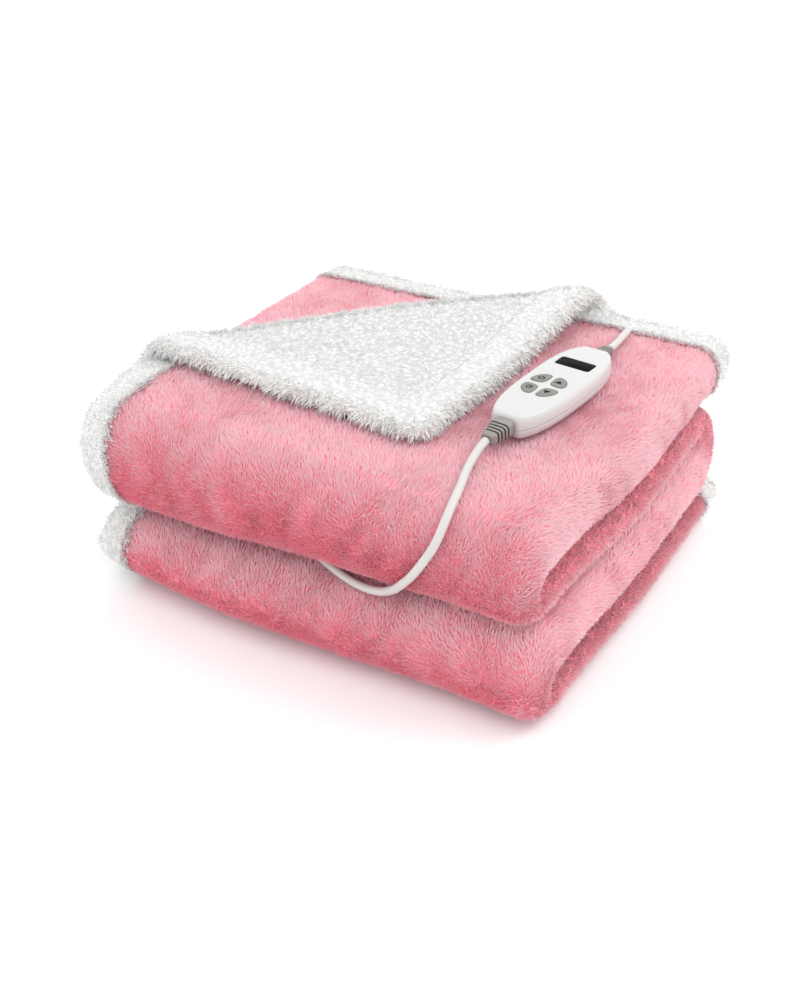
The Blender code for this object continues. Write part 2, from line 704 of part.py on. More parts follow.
def sleeve(name, start, turn, dip, rows, material, bend=0.0):
    """A moulded sleeve along -Y: rounded square sections, one for each row of reach, width and height.

    Its far end is bend to the left of its near one.
    """
    outline = rounded_rectangle(1.0, 1.0, 0.24)
    far = rows[-1][0]
    bm = bmesh.new()
    start_width, start_height = rows[0][1:]
    face = bm.faces.new([bm.verts.new((x * start_width, 0.0, y * start_height)) for x, y in outline])
    bm.faces.new([bm.verts.new(v.co) for v in reversed(face.verts)])
    for reach, width, height in rows[1:]:
        face = bmesh.ops.extrude_discrete_faces(bm, faces=[face])["faces"][0]
        for vert, (x, y) in zip(face.verts, outline):
            vert.co = (x * width - bend * (reach / far) ** 2, -reach, y * height)
    bmesh.ops.remove_doubles(bm, verts=bm.verts[:], dist=1e-6)
    bmesh.ops.recalc_face_normals(bm, faces=bm.faces[:])
    place = Matrix.Translation(start) @ Matrix.Rotation(turn, 4, "Z") @ Matrix.Rotation(-dip, 4, "X")
    return finish_mesh(name, bm, material, place)


def relief_rows(relief):
    """(reach, width, height) along a relief: a plain collar, then ribs with grooves, then a plain neck."""
    length, wide, narrow, collar, ribs, _ = relief
    rows = [(0.0, wide[0] * 0.96, wide[1] * 0.96), (0.0008, wide[0], wide[1]), (collar, wide[0], wide[1])]
    pitch = (length - collar) / (ribs + 1)
    for i in range(ribs):
        start = collar + pitch * i
        for reach, depth in ((0.12, 0.0014), (0.42, 0.0014), (0.54, 0.0), (0.98, 0.0)):
            at = start + pitch * reach
            share = (at - collar) / (length - collar)
            width = wide[0] + (narrow[0] - wide[0]) * share
            height = wide[1] + (narrow[1] - wide[1]) * share
            rows.append((at, width - depth, height - depth))
    rows.append((length, narrow[0], narrow[1]))
    return rows


def reliefs(materials):
    """The two reliefs leave the controller's flat ends along its own length."""
    for name, end, turn, dip, relief in (
        ("relief_front", BOX_FRONT - TOUCH, BOX_TURN, FRONT_DIP, FRONT_RELIEF),
        ("relief_rear", BOX_REAR + TOUCH, BOX_TURN + pi, REAR_DIP, REAR_RELIEF),
    ):
        start = box_place(0, end, RELIEF_Z).translation
        bend = relief.bend if turn == BOX_TURN else -relief.bend
        sleeve(name, start, turn, dip, relief_rows(relief), materials["rubber"], bend)


def coil(materials):
    """The unseen length of the mains lead: a ring of the outer shape of its turns, tied with a strap."""
    bm = bmesh.new()
    middle = COIL_Z + COIL_HEIGHT / 2
    section = rounded_rectangle(2 * COIL_HALF_WIDTH, COIL_HEIGHT, COIL_CORNER)
    bm.faces.new([bm.verts.new((COIL_RADIUS + x, 0.0, middle + z)) for x, z in section])
    edges = bm.edges[:]
    bmesh.ops.delete(bm, geom=bm.faces[:], context="FACES_ONLY")
    bmesh.ops.spin(bm, geom=edges, axis=(0, 0, 1), cent=(0, 0, 0), angle=2 * pi, steps=24, use_merge=True)
    bmesh.ops.remove_doubles(bm, verts=bm.verts[:], dist=1e-6)
    bmesh.ops.recalc_face_normals(bm, faces=bm.faces[:])
    place = Matrix.Translation((*COIL_CENTRE, 0.0))
    finish_mesh("mains_coil", bm, materials["lead"], place)

    bm = bmesh.new()
    room = (2 * COIL_HALF_WIDTH + 2 * TIE_ROOM, COIL_HEIGHT + 2 * TOUCH)
    inner = rounded_rectangle(room[0], room[1], COIL_CORNER)
    outer = rounded_rectangle(room[0] + 2 * TIE_THICK, room[1] + 2 * TIE_THICK, COIL_CORNER + TIE_THICK)
    loops = []
    for side in (-TIE_WIDTH / 2, TIE_WIDTH / 2):
        for outline in (inner, outer):
            loops.append([bm.verts.new((COIL_RADIUS + x, side, middle + z)) for x, z in outline])
    for one, two in ((0, 1), (1, 3), (3, 2), (2, 0)):
        for i in range(len(inner)):
            j = (i + 1) % len(inner)
            bm.faces.new((loops[one][i], loops[one][j], loops[two][j], loops[two][i]))
    bmesh.ops.recalc_face_normals(bm, faces=bm.faces[:])
    finish_mesh("coil_tie", bm, materials["rubber"], place @ Matrix.Rotation(TIE_ANGLE, 4, "Z"))


def plug(materials):
    """Two-blade mains plug, lying flat, with its own tapered relief on the lead's side."""
    length, width, height = PLUG_BODY
    neck = relief_rows(PLUG_RELIEF)
    start = PLUG_RELIEF.length
    rows = [(start - reach, wide, high) for reach, wide, high in reversed(neck)]
    rows += [
        (start + 0.0040, width * 0.86, height * 0.86),
        (start + 0.0080, width, height),
        (start + length - 0.0030, width, height),
        (start + length, width * 0.90, height * 0.88),
    ]
    place = (PLUG_PLACE[0], PLUG_PLACE[1], height / 2 + 0.0004)
    sleeve("plug_body", place, PLUG_TURN, 0.0, rows, materials["lead"])
    end = start + length + TOUCH
    for i, side in enumerate((-1, 1)):
        bm = bmesh.new()
        bmesh.ops.create_cube(bm, size=1.0)
        for vert in bm.verts:
            vert.co.x *= BLADE[0]
            vert.co.y *= BLADE[1]
            vert.co.z *= BLADE[2]
        x = PLUG_PLACE[0] + end + BLADE[0] / 2
        y = PLUG_PLACE[1] + side * BLADE_SPACING / 2
        finish_mesh(f"plug_blade_{i + 1}", bm, materials["brass"], Matrix.Translation((x, y, place[2])))


# ---- Main ------------------------------------------------------------------------------------------------

COLLECTION = "heated throw"
CUTTERS = "cutters"

for old in list(bpy.data.objects):
    bpy.data.objects.remove(old, do_unlink=True)
for title in (COLLECTION, CUTTERS):
    bpy.context.scene.collection.children.link(bpy.data.collections.new(title))

BOX_PLACE = Matrix.Translation((*BOX_CENTRE, box_floor() + TOUCH)) @ Matrix.Rotation(BOX_TURN, 4, "Z")


def main():
    materials = {
        "plush": make_material("pink plush", (0.68, 0.17, 0.24), 0.85),
        "sherpa": make_material("white sherpa", (0.86, 0.85, 0.83), 0.95),
        "shell": make_material("white shell", (0.84, 0.83, 0.80), 0.25),
        "display": make_material("black window", (0.01, 0.01, 0.011), 0.12),
        "key": make_material("grey key", (0.40, 0.42, 0.41), 0.5),
        "rubber": make_material("grey relief", (0.30, 0.29, 0.27), 0.6),
        "lead": make_material("white lead", (0.82, 0.81, 0.79), 0.4),
        "brass": make_material("plug blade", (0.75, 0.62, 0.36), 0.25, 1.0),
    }
    plush_edge = HEM + SEAM_GAP
    cloth("plush_face", plush_edge, (plush_edge,), plush_under, plush_over, materials["plush"])
    cloth("sherpa_backing", 0.0, HEM_LINES, sherpa_under, sherpa_over, materials["sherpa"])
    controller(materials)
    reliefs(materials)
    tube("mains_run", MAINS_ROUTE, LEAD, materials["lead"])
    coil(materials)
    tube("mains_tail", TAIL_ROUTE, LEAD, materials["lead"])
    plug(materials)
    tube("lead_short", SHORT_ROUTE, LEAD, materials["lead"])


main()
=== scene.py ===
"""Dresses the folded heated throw: its two cloths with their pile, the hand controller and the leads.

Metres, +Z up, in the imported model's own frame. Both cloths are sheets in pattern space (u across the cloth,
v along it, o above it on the pink side) that one function folds, as the part's source does.
"""

from collections import namedtuple
from functools import cache
from math import cos, hypot, pi, radians, sin

import bmesh
import bpy
import numpy as np
from mathutils import Matrix, Vector
from mathutils.bvhtree import BVHTree


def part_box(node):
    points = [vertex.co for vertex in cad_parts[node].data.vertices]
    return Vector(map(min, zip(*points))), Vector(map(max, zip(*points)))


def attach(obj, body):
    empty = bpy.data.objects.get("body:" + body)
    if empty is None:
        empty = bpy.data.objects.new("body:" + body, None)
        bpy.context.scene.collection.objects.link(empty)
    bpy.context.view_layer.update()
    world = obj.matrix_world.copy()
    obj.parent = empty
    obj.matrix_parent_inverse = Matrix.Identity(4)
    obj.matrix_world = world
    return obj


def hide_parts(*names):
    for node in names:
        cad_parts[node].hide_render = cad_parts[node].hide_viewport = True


bl_info = {
    "name": "Heated Throw",
    "version": (1, 0, 0),
    "blender": (4, 5, 0),
    "location": "View3D > Sidebar > Throw",
    "description": "Dresses a folded heated throw, its hand controller and its leads",
    "category": "Add Mesh",
}

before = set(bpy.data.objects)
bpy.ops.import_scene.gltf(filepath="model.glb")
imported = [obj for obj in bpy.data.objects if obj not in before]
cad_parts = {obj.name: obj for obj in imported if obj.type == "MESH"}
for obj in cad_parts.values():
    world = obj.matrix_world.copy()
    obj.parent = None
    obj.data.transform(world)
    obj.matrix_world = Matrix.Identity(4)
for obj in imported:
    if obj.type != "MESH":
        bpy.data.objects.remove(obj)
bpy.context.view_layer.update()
BODY = "throw"

# --- The cloths' sizes, as in the part's source ------------------------------------------------------------
PLUSH = 0.0052
SHERPA = 0.0075
SEAM_GAP = 0.0003
LAYER_GAP = 0.0008
BACK_TO_BACK = 0.0012
HEM = 0.033
HEM_ROUND = 0.009
HEM_MIDDLE = -0.0012
HEM_STEP = 0.0004
HEM_RISE = 0.0028
HEM_RISE_IN = 0.020
CORNER_ROUND = 0.022

LOW = PLUSH
MIDDLE = LOW + SHERPA + BACK_TO_BACK + SHERPA
TOP = MIDDLE + PLUSH + LAYER_GAP + SHERPA
LEG = TOP + PLUSH
X_LEFT = -0.204
X_RIGHT = 0.199
TUCK = 0.005
LEFT_CENTRE = (LOW + MIDDLE) / 2
LEFT_RADIUS = (MIDDLE - LOW) / 2
RIGHT_CENTRE = (LOW + TOP) / 2
RIGHT_RADIUS = (TOP - LOW) / 2
DROOP_RADIUS = TOP - LEFT_CENTRE
DROOP = 0.021

Y_FRONT = -0.158
Y_BACK = 0.146
Y_END = 0.207
Y_END_LOW = 0.196
FAN = 0.20
FRONT_INSIDE = 0.001
BACK_INSIDE = 0.0048
ROLL_PITCH = 2 * LEG + 2 * FRONT_INSIDE
Z_ROLL_2 = LEG + FRONT_INSIDE
Z_GAP = ROLL_PITCH
Z_BACK = Z_GAP + BACK_INSIDE
Z_ROLL_1 = Z_GAP + 2 * BACK_INSIDE + LEG + FRONT_INSIDE
Z_LEG_1 = Z_ROLL_1 + FRONT_INSIDE
STACK = Z_LEG_1 + LEG

CREASE_LEFT = np.array((-0.224, -0.112))
CREASE_FAR = np.array((0.1150, 0.203))
CREASE_LENGTH = np.linalg.norm(CREASE_FAR - CREASE_LEFT)
CREASE_RUN = (CREASE_FAR - CREASE_LEFT) / CREASE_LENGTH
CREASE_PAST = np.array((-CREASE_RUN[1], CREASE_RUN[0]))
RIDGE_RADIUS = (0.0068, 0.0126)
FLAP_LEVEL = 2 * PLUSH + 0.0016
FLAP_SETTLE = 0.10
DROOP_FADE = (-0.045, -0.006)

LOW_ROLL_SHIFT = 0.009
SHIFT_BAND = (0.050, 0.120)
GAP_CLOSED = 0.0062
SIDE_SAG = 0.011
NEAR_CORNER_IN = (0.008, 0.014)
FRONT_BULGE = (0.015, 0.006)
CREASE_SAG = 0.020
SAG_BAND = (0.012, 0.162)
CROWN = (0.0022, 0.0035)
RIPPLE = 0.0025
FULL = (-0.23, 0.17)
FRONT_BAND = (0.02, 0.17)
RIGHT_BAND = (0.02, 0.16)
SAG_RIGHT = (0.10, 0.11)
SAG_LEFT = (0.20, 0.37)
SAG_FRONT = (0.06, 0.11)
CLOSED_BAND = (0.01, 0.11)
CLOSED_BACK = (0.02, 0.15)

Run = namedtuple("Run", "length step")  # step: spacing of the grid lines, for the plush and for the sherpa
ACROSS = (
    Run(X_RIGHT - TUCK - X_LEFT, (0.028, 0.028)),  # tucked layer
    Run(pi * LEFT_RADIUS, (0.0042, 0.0042)),  # left turn
    Run(X_RIGHT - X_LEFT, (0.014, 0.024)),  # low layer
    Run(pi * RIGHT_RADIUS, (0.0035, 0.0065)),  # right turn
    Run(X_RIGHT - X_LEFT, (0.0085, 0.0046)),  # top layer
    Run(DROOP, (0.0045, 0.0040)),  # its drooping edge
)
ALONG = (
    Run(Y_END - Y_FRONT, (0.0085, 0.0046)),  # leg 1
    Run(pi * (FRONT_INSIDE + LEG / 2), (0.0036, 0.0066)),  # front turn 1
    Run(Y_BACK - Y_FRONT, (0.014, 0.024)),  # leg 2
    Run(pi * (BACK_INSIDE + LEG / 2), (0.0050, 0.0070)),  # back turn
    Run(Y_BACK - Y_FRONT, (0.014, 0.024)),  # leg 3
    Run(pi * (FRONT_INSIDE + LEG / 2), (0.0036, 0.0066)),  # front turn 2
    Run(Y_END_LOW - Y_FRONT, (0.014, 0.020)),  # leg 4
)
WIDE = sum(run.length for run in ACROSS)
LONG = sum(run.length for run in ALONG)
TOP_LAYER_START = sum(run.length for run in ACROSS[:4])
HEM_LINES = (0.0, 0.0012, 0.0030, 0.0055, 0.0090, 0.016, 0.024, HEM - HEM_STEP, HEM)

# --- Leads, as in the part's source ------------------------------------------------------------------------
LEAD = 0.0070
TOUCH = 0.0003
MAINS_ROUTE = (
    (0.1144, -0.0929, 0.1795),
    (0.1131, -0.1020, 0.1765),
    (0.1135, -0.1130, 0.1735),
    (0.1160, -0.1290, 0.1712),
    (0.1227, -0.1531, 0.1703),
    (0.1275, -0.1751, 0.1678),
    (0.1293, -0.1902, 0.1606),
    (0.1282, -0.2012, 0.1489),
    (0.1228, -0.2072, 0.1364),
    (0.1130, -0.2089, 0.1200),
    (0.0990, -0.2035, 0.1020),
    (0.0895, -0.1985, 0.0920),
    (0.0785, -0.1935, 0.0836),
    (0.0660, -0.1892, 0.0780),
    (0.0530, -0.1855, 0.0752),
    (0.0400, -0.1815, 0.0742),
    (0.0250, -0.1765, 0.0748),
    (0.0080, -0.1690, 0.0748),
    (-0.0150, -0.1570, 0.0752),
    (-0.0450, -0.1390, 0.0768),
    (-0.0780, -0.1160, 0.0804),
    (-0.1120, -0.0890, 0.0833),
    (-0.1450, -0.0620, 0.0865),
    (-0.1750, -0.0350, 0.0878),
    (-0.2000, -0.0080, 0.0872),
    (-0.2180, 0.0150, 0.0855),
    (-0.2290, 0.0380, 0.0790),
    (-0.2340, 0.0620, 0.0660),
    (-0.2360, 0.0860, 0.0490),
    (-0.2365, 0.1100, 0.0310),
    (-0.2360, 0.1350, 0.0155),
    (-0.2335, 0.1610, 0.0065),
    (-0.2265, 0.1870, 0.0039),
    (-0.2125, 0.2110, 0.0038),
    (-0.1890, 0.2290, 0.0038),
    (-0.1600, 0.2390, 0.0038),
    (-0.1320, 0.2430, 0.0042),
    (-0.1020, 0.2445, 0.0049),
)
TAIL_ROUTE = (
    (-0.0482, 0.2445, 0.0119),
    (-0.0350, 0.2447, 0.0116),
    (-0.0200, 0.2451, 0.0108),
    (-0.0050, 0.2456, 0.0099),
    (0.0100, 0.2459, 0.0095),
    (0.0197, 0.2460, 0.0094),
)
SHORT_ROUTE = (
    (0.1347, 0.1106, 0.1789),
    (0.1343, 0.1200, 0.1779),
    (0.1338, 0.1350, 0.1769),
    (0.1332, 0.1500, 0.1769),
    (0.1326, 0.1640, 0.1770),
)
COIL_CENTRE = (-0.075, 0.2900)
COIL_TURNS = 6
COIL_RADII = (0.0525, 0.0455, 0.0385, 0.0315, 0.0315, 0.0385, 0.0455, 0.0525)
COIL_LAYERS = (0.0049, 0.0119)
COIL_STEP = 0.09  # half the share of a turn in which the lead steps to the next ring
COIL_DIP = (0.0024, 0.16)  # how far it swings inwards as it climbs, and half the share of a turn for this

# --- Controller, as in the part's source -------------------------------------------------------------------
BOX_CENTRE = (0.1265, 0.0068)
BOX_TURN = radians(-6)
BOX_HALF_LENGTH = 0.0800
BOX_HALF_WIDTH = 0.0266
BOX_SQUARENESS = 2.7
BOX_TAPER = 0.05
BOX_FRONT = -0.0755
BOX_REAR = 0.0775
FACE_Z = 0.0196
WINDOW = (0.0330, 0.0160, 0.0012)
WINDOW_Y = 0.0370
WINDOW_CORNER = 0.0026
KEY_CENTRE = (-0.0012, -0.0134)
KEY_REACH = 0.0115
KEY_HALF = 0.0062
KEY_SWEEP = radians(39)
KEY_STRETCH = 1.24
KEY_THICK = 0.0032
KEY_PROUD = 0.0007
KEY_GAP = 0.0004
KEY_FREE = 0.0013  # free depth under a key
RELIEF_Z = 0.0098
KEYS = {"power": 135, "up": 45, "down": -45, "timer": -135}
Relief = namedtuple("Relief", "length wide narrow collar ribs bend")  # wide and narrow: (width, height)
FRONT_RELIEF = Relief(0.0240, (0.0180, 0.0140), (0.0108, 0.0100), 0.0070, 4, 0.0015)
REAR_RELIEF = Relief(0.0260, (0.0140, 0.0118), (0.0100, 0.0094), 0.0070, 3, 0.0025)
FRONT_DIP = radians(-7)
REAR_DIP = radians(-8)

# --- Stage -------------------------------------------------------------------------------------------------
CAMERA_TARGET = (-0.0168, 0.0, 0.0344)
CAMERA_TURN = radians(29.8)  # to the right of the front
CAMERA_LIFT = radians(31.7)
Lamp = namedtuple("Lamp", "name place size share")  # share: of the large lamp's power
LAMPS = (Lamp("lamp right", (1.0, 0.6, 1.4), 1.0, 1.0), Lamp("lamp left", (-1.4, -0.5, 1.2), 0.9, 0.35))
LAMP_TARGET = (0.0, 0.0, 0.08)
FLOOR_DROP = 0.0005  # the floor lies this far under the throw


# --- Properties --------------------------------------------------------------------------------------------
def colour(name, description, default):
    return bpy.props.FloatVectorProperty(
        name=name, description=description, default=default, subtype="COLOR", size=3, min=0, max=1
    )


def length(name, description, default):
    return bpy.props.FloatProperty(name=name, description=description, default=default, min=0, unit="LENGTH")


class ThrowCloth(bpy.types.PropertyGroup):
    """Colours and pile of the two cloths."""

    plush_tip: colour("Plush tips", "Colour of the pink pile's tips", (0.86, 0.64, 0.675))
    # Painted shade: the roots' deep colour stands for the shade deep in the pile, between the tufts.
    plush_root_shade: colour("Plush roots", "Colour deep in the pink pile", (0.90, 0.205, 0.295))
    plush_pile: length("Plush pile", "Length of a tuft of the pink pile", 0.0058)
    plush_spot: length("Plush tuft", "Half the width of a tuft at its root", 0.00095)
    # Painted light: a whiter copy of the curls' colour, given to the hem, the ridge and the tops of the
    # ground's curls.
    sherpa_lit_curls: colour("Sherpa hem", "Colour of the fuller curls of the hem", (0.84, 0.84, 0.83))
    sherpa_field: colour("Sherpa field", "Colour of the curls away from the hem", (0.59, 0.587, 0.58))
    sherpa_pile: length("Sherpa pile", "Length of a curl's tuft", 0.0058)
    sherpa_spot: length("Sherpa tuft", "Half the width of a curl's tuft at its root", 0.0024)


class ThrowController(bpy.types.PropertyGroup):
    """Colours of the hand controller and the leads."""

    shell: colour("Shell", "Glossy moulded shell", (0.615, 0.61, 0.605))
    window: colour("Window", "Display window", (0.004, 0.004, 0.005))
    key: colour("Key", "Rubber keys", (0.21, 0.215, 0.20))
    mark: colour("Mark", "Printed marks on the keys", (0.008, 0.008, 0.008))
    relief: colour("Relief", "Moulded strain reliefs", (0.29, 0.27, 0.25))
    lead: colour("Lead", "Sheath of the leads and the plug", (0.63, 0.615, 0.60))
    blade: colour("Blade", "Metal of the plug's blades", (0.72, 0.62, 0.40))


class ThrowStage(bpy.types.PropertyGroup):
    """Floor, light and camera."""

    floor: colour("Floor", "Colour of the plain floor", (0.98, 0.98, 0.98))
    sky: bpy.props.FloatProperty(name="Sky", description="Strength of the even light", default=1.19, min=0)
    lamp: bpy.props.FloatProperty(name="Lamp", description="Watts of the large lamp", default=7, min=0)
    lens: bpy.props.FloatProperty(name="Lens", description="Focal length in millimetres", default=58.5, min=1)
    distance: length("Distance", "From the camera to its target", 1.22)


# --- Materials ---------------------------------------------------------------------------------------------
CURL_SIZE = 0.0045  # of the curls on the white ground under the pile


class Socket:
    """A node's output, so that shader maths reads as arithmetic."""

    def __init__(self, finish, socket):
        self.finish = finish
        self.socket = socket

    def maths(self, operation, *values):
        return self.finish.node("ShaderNodeMath", dict(enumerate(values)), operation=operation)

    def __add__(self, other):
        return self.maths("ADD", self, other)

    __radd__ = __add__

    def __sub__(self, other):
        return self.maths("SUBTRACT", self, other)

    def __rsub__(self, other):
        return self.maths("SUBTRACT", other, self)

    def __mul__(self, other):
        return self.maths("MULTIPLY", self, other)

    __rmul__ = __mul__


class Finish:
    """A material: one Principled shader, and one method that adds any other node."""

    def __init__(self, name, constants):
        self.material = bpy.data.materials.new(name)
        self.material.use_nodes = True
        self.tree = self.material.node_tree
        self.shader = self.tree.nodes["Principled BSDF"]
        self.feed(constants)

    def feed(self, values):
        """Sets or links the shader's sockets."""
        for label, value in values.items():
            self.connect(self.shader.inputs[label], value)

    def connect(self, socket, value):
        if isinstance(value, Socket):
            self.tree.links.new(value.socket, socket)
        elif socket.type == "RGBA":
            socket.default_value = (*value[:3], 1.0)
        else:
            socket.default_value = value

    def node(self, kind, inputs, output=0, **settings):
        """Adds a node with these settings, and the values or links of its sockets."""
        made = self.tree.nodes.new(kind)
        for key, value in settings.items():
            setattr(made, key, value)
        for key, value in inputs.items():
            self.connect(made.inputs[key], value)
        return Socket(self, made.outputs[output])

    def place(self):
        return self.node("ShaderNodeTexCoord", {}, output="Object")

    def noise(self, size, detail=2.0, roughness=0.5, stretch=None):
        """Noise with features of about this size, in metres."""
        at = self.place()
        if stretch:
            at = self.node("ShaderNodeMapping", {"Vector": at, "Scale": stretch})
        inputs = {"Vector": at, "Scale": 1 / size, "Detail": detail, "Roughness": roughness}
        return self.node("ShaderNodeTexNoise", inputs, output="Fac")

    def attribute(self, name):
        return self.node("ShaderNodeAttribute", {}, output="Fac", attribute_name=name)

    def mix(self, factor, one, two):
        """Goes from colour one to colour two as factor goes from 0 to 1."""
        inputs = {0: factor, 6: one, 7: two}
        return self.node("ShaderNodeMix", inputs, output=2, data_type="RGBA")

    def band(self, value, low, high):
        """Goes from 0 to 1 as value goes from low to high."""
        inputs = {"Value": value, "From Min": low, "From Max": high}
        return self.node("ShaderNodeMapRange", inputs, interpolation_type="SMOOTHSTEP")

    def bump(self, height, distance, strength=1.0):
        inputs = {"Height": height, "Distance": distance, "Strength": strength}
        return self.node("ShaderNodeBump", inputs, output="Normal")


def scaled(tint, share):
    return tuple(min(channel * share, 1.0) for channel in tint)


def plush_pile_finish(cloth):
    """Pink tufts: deep colour at the root, painted shade in the depth of the pile, and pale and slightly
    frosted at the tip; paler on the tops and on the sides that face right, painted light.
    """
    finish = Finish("Pink plush pile", {"Roughness": 0.8, "Specular IOR Level": 0.1, "Sheen Weight": 0.1})
    finish.feed({"Sheen Tint": (1.0, 0.82, 0.86)})
    reach = finish.attribute("reach")
    tone_and_light = finish.attribute("tone_and_light")
    # Painted shade: deeper towards each tuft's root.
    shade = finish.mix(reach, cloth.plush_root_shade, cloth.plush_tip)
    # Painted light: paler where a tuft's value is higher, as it is on the tops and the right-facing sides, on
    # top of random tone.
    deep = finish.mix(finish.band(tone_and_light, 0.15, 0.85), scaled(cloth.plush_root_shade, 1.25), cloth.plush_tip)
    finish.feed({"Base Color": finish.mix(0.45, shade, deep)})
    finish.feed({"Normal": finish.bump(finish.noise(0.0006, 1.0), 0.0003, 0.3)})
    return finish.material


def plush_base_finish(cloth):
    """The knitted ground under the pink pile, as fibres that lie flat."""
    finish = Finish("Pink plush ground", {"Roughness": 0.85, "Sheen Weight": 0.4})
    fine = finish.noise(0.0016, 3.0, 0.6)
    wide = finish.noise(0.03, 2.0)
    # Painted shade: deeper in the hollows of the same noise that makes the bumps, paler on their tops; the
    # wide noise deepens it at random.
    tint = finish.mix(finish.band(fine, 0.35, 0.68) * 0.5, cloth.plush_root_shade, cloth.plush_tip)
    tint = finish.mix(wide * 0.2, tint, cloth.plush_root_shade)
    finish.feed({"Base Color": tint, "Normal": finish.bump(fine, 0.0012, 0.8)})
    return finish.material


def sherpa_pile_finish(cloth):
    """White curls, whiter along the hem, where they are fuller, and on the ridge: painted light."""
    finish = Finish("White sherpa curls", {"Roughness": 0.9, "Specular IOR Level": 0.2})
    tone_and_light = finish.attribute("tone_and_light")
    finish.feed({"Base Color": finish.mix(tone_and_light, cloth.sherpa_field, cloth.sherpa_lit_curls)})
    finish.feed({"Normal": finish.bump(finish.noise(0.0007, 1.0), 0.0002, 0.25)})
    return finish.material


def sherpa_base_finish(cloth):
    """The curly ground under the white pile."""
    finish = Finish("White sherpa ground", {"Roughness": 0.9, "Sheen Weight": 0.3})
    inputs = {"Vector": finish.place(), "Scale": 1 / CURL_SIZE}
    curl = finish.node("ShaderNodeTexVoronoi", inputs, output="Distance")
    fine = finish.noise(0.0015, 3.0, 0.6)
    height = (1 - curl) + fine * 0.6
    # Painted shade: darker in the hollows between the curls and whiter on their tops, from the same height as
    # the bumps.
    tint = finish.mix(finish.band(height, 0.5, 1.3), cloth.sherpa_field, cloth.sherpa_lit_curls)
    finish.feed({"Base Color": tint, "Normal": finish.bump(height, 0.0016, 0.7)})
    return finish.material


def moulded_finish(name, tint, roughness, grain, coat=0.0, shine=0.5):
    """Moulded plastic or rubber: a faint texture in its skin and slight wear in its gloss."""
    finish = Finish(name, {"Coat Weight": coat, "Coat Roughness": 0.12, "Specular IOR Level": shine})
    fine = finish.noise(0.0005, 2.0)
    wide = finish.noise(0.014, 3.0, 0.6)
    finish.feed({"Base Color": finish.mix(wide * 0.2, tint, scaled(tint, 0.95))})
    finish.feed({"Roughness": finish.band(wide, 0.2, 0.8) * 0.05 + (roughness - 0.025)})
    finish.feed({"Normal": finish.bump(fine, grain, 0.35)})
    return finish.material


def metal_finish(name, tint):
    finish = Finish(name, {"Metallic": 1.0})
    brushed = finish.noise(0.0008, 2.0, stretch=(0.08, 1.0, 1.0))
    finish.feed({"Base Color": finish.mix(brushed * 0.4, tint, scaled(tint, 0.75))})
    finish.feed({"Roughness": brushed * 0.2 + 0.18, "Normal": finish.bump(brushed, 0.00005, 0.5)})
    return finish.material


def floor_finish(tint):
    finish = Finish("Plain floor", {"Roughness": 0.6, "Specular IOR Level": 0.2})
    finish.feed({"Base Color": finish.mix(finish.noise(0.4) * 0.02, tint, scaled(tint, 0.97))})
    return finish.material


# --- Folding the cloths ------------------------------------------------------------------------------------
def smooth(t):
    """Smooth step from 0 to 1."""
    t = np.clip(t, 0.0, 1.0)
    return t * t * (3 - 2 * t)


def bump(t):
    """Smooth hill, 0 at both ends of 0..1 and 1 in the middle."""
    return np.sin(pi * np.clip(t, 0.0, 1.0)) ** 2


def between(pair, share):
    return pair[0] + (pair[1] - pair[0]) * share


def within(runs, distance):
    """The run that each pattern distance falls in, and the distance from its start."""
    lengths = np.array([run.length for run in runs])
    ends = np.cumsum(lengths)
    index = np.minimum(np.searchsorted(ends, distance), len(runs) - 1)
    return index, distance - (ends - lengths)[index]


def across(u, o):
    """Letter fold: x, height in the leg, and height of the layer's seam."""
    index, d = within(ACROSS, u)
    left, right, droop = d / LEFT_RADIUS, d / RIGHT_RADIUS, d / DROOP_RADIUS
    x = np.choose(index, (
        X_RIGHT - TUCK - d,
        X_LEFT - (LEFT_RADIUS + o) * np.sin(left),
        X_LEFT + d,
        X_RIGHT + (RIGHT_RADIUS + o) * np.sin(right),
        X_RIGHT - d,
        X_LEFT - (DROOP_RADIUS + o) * np.sin(droop),
    ))
    h = np.choose(index, (
        MIDDLE + o,
        LEFT_CENTRE + (LEFT_RADIUS + o) * np.cos(left),
        LOW - o,
        RIGHT_CENTRE - (RIGHT_RADIUS + o) * np.cos(right),
        TOP + o,
        LEFT_CENTRE + (DROOP_RADIUS + o) * np.cos(droop),
    ))
    zero = 0.0 * d
    level = np.choose(index, (
        MIDDLE + zero,
        LEFT_CENTRE + LEFT_RADIUS * np.cos(left),
        LOW + zero,
        RIGHT_CENTRE - RIGHT_RADIUS * np.cos(right),
        TOP + zero,
        TOP + zero,
    ))
    return x, h, level


def along(v, h, level):
    """Back and forth: y and z of a point at height h in its leg."""
    index, d = within(ALONG, v)
    fan = FAN * (TOP - level)
    first, last = ALONG[0].length, ALONG[6].length
    front, back = d / (FRONT_INSIDE + LEG / 2), d / (BACK_INSIDE + LEG / 2)
    outer, inner = FRONT_INSIDE + h, BACK_INSIDE + LEG - h
    turned = Y_FRONT - outer * np.sin(front)
    y = np.choose(index, (
        Y_FRONT + (first - d) * (first + fan) / first,
        turned,
        Y_FRONT + d,
        Y_BACK + inner * np.sin(back),
        Y_BACK - d,
        turned,
        Y_FRONT + d * (last + fan) / last,
    ))
    z = np.choose(index, (
        Z_LEG_1 + h,
        Z_ROLL_1 + outer * np.cos(front),
        Z_ROLL_1 - FRONT_INSIDE - h,
        Z_BACK + inner * np.cos(back),
        Z_ROLL_2 + FRONT_INSIDE + h,
        Z_ROLL_2 + outer * np.cos(front),
        Z_ROLL_2 - FRONT_INSIDE - h,
    ))
    return y, z


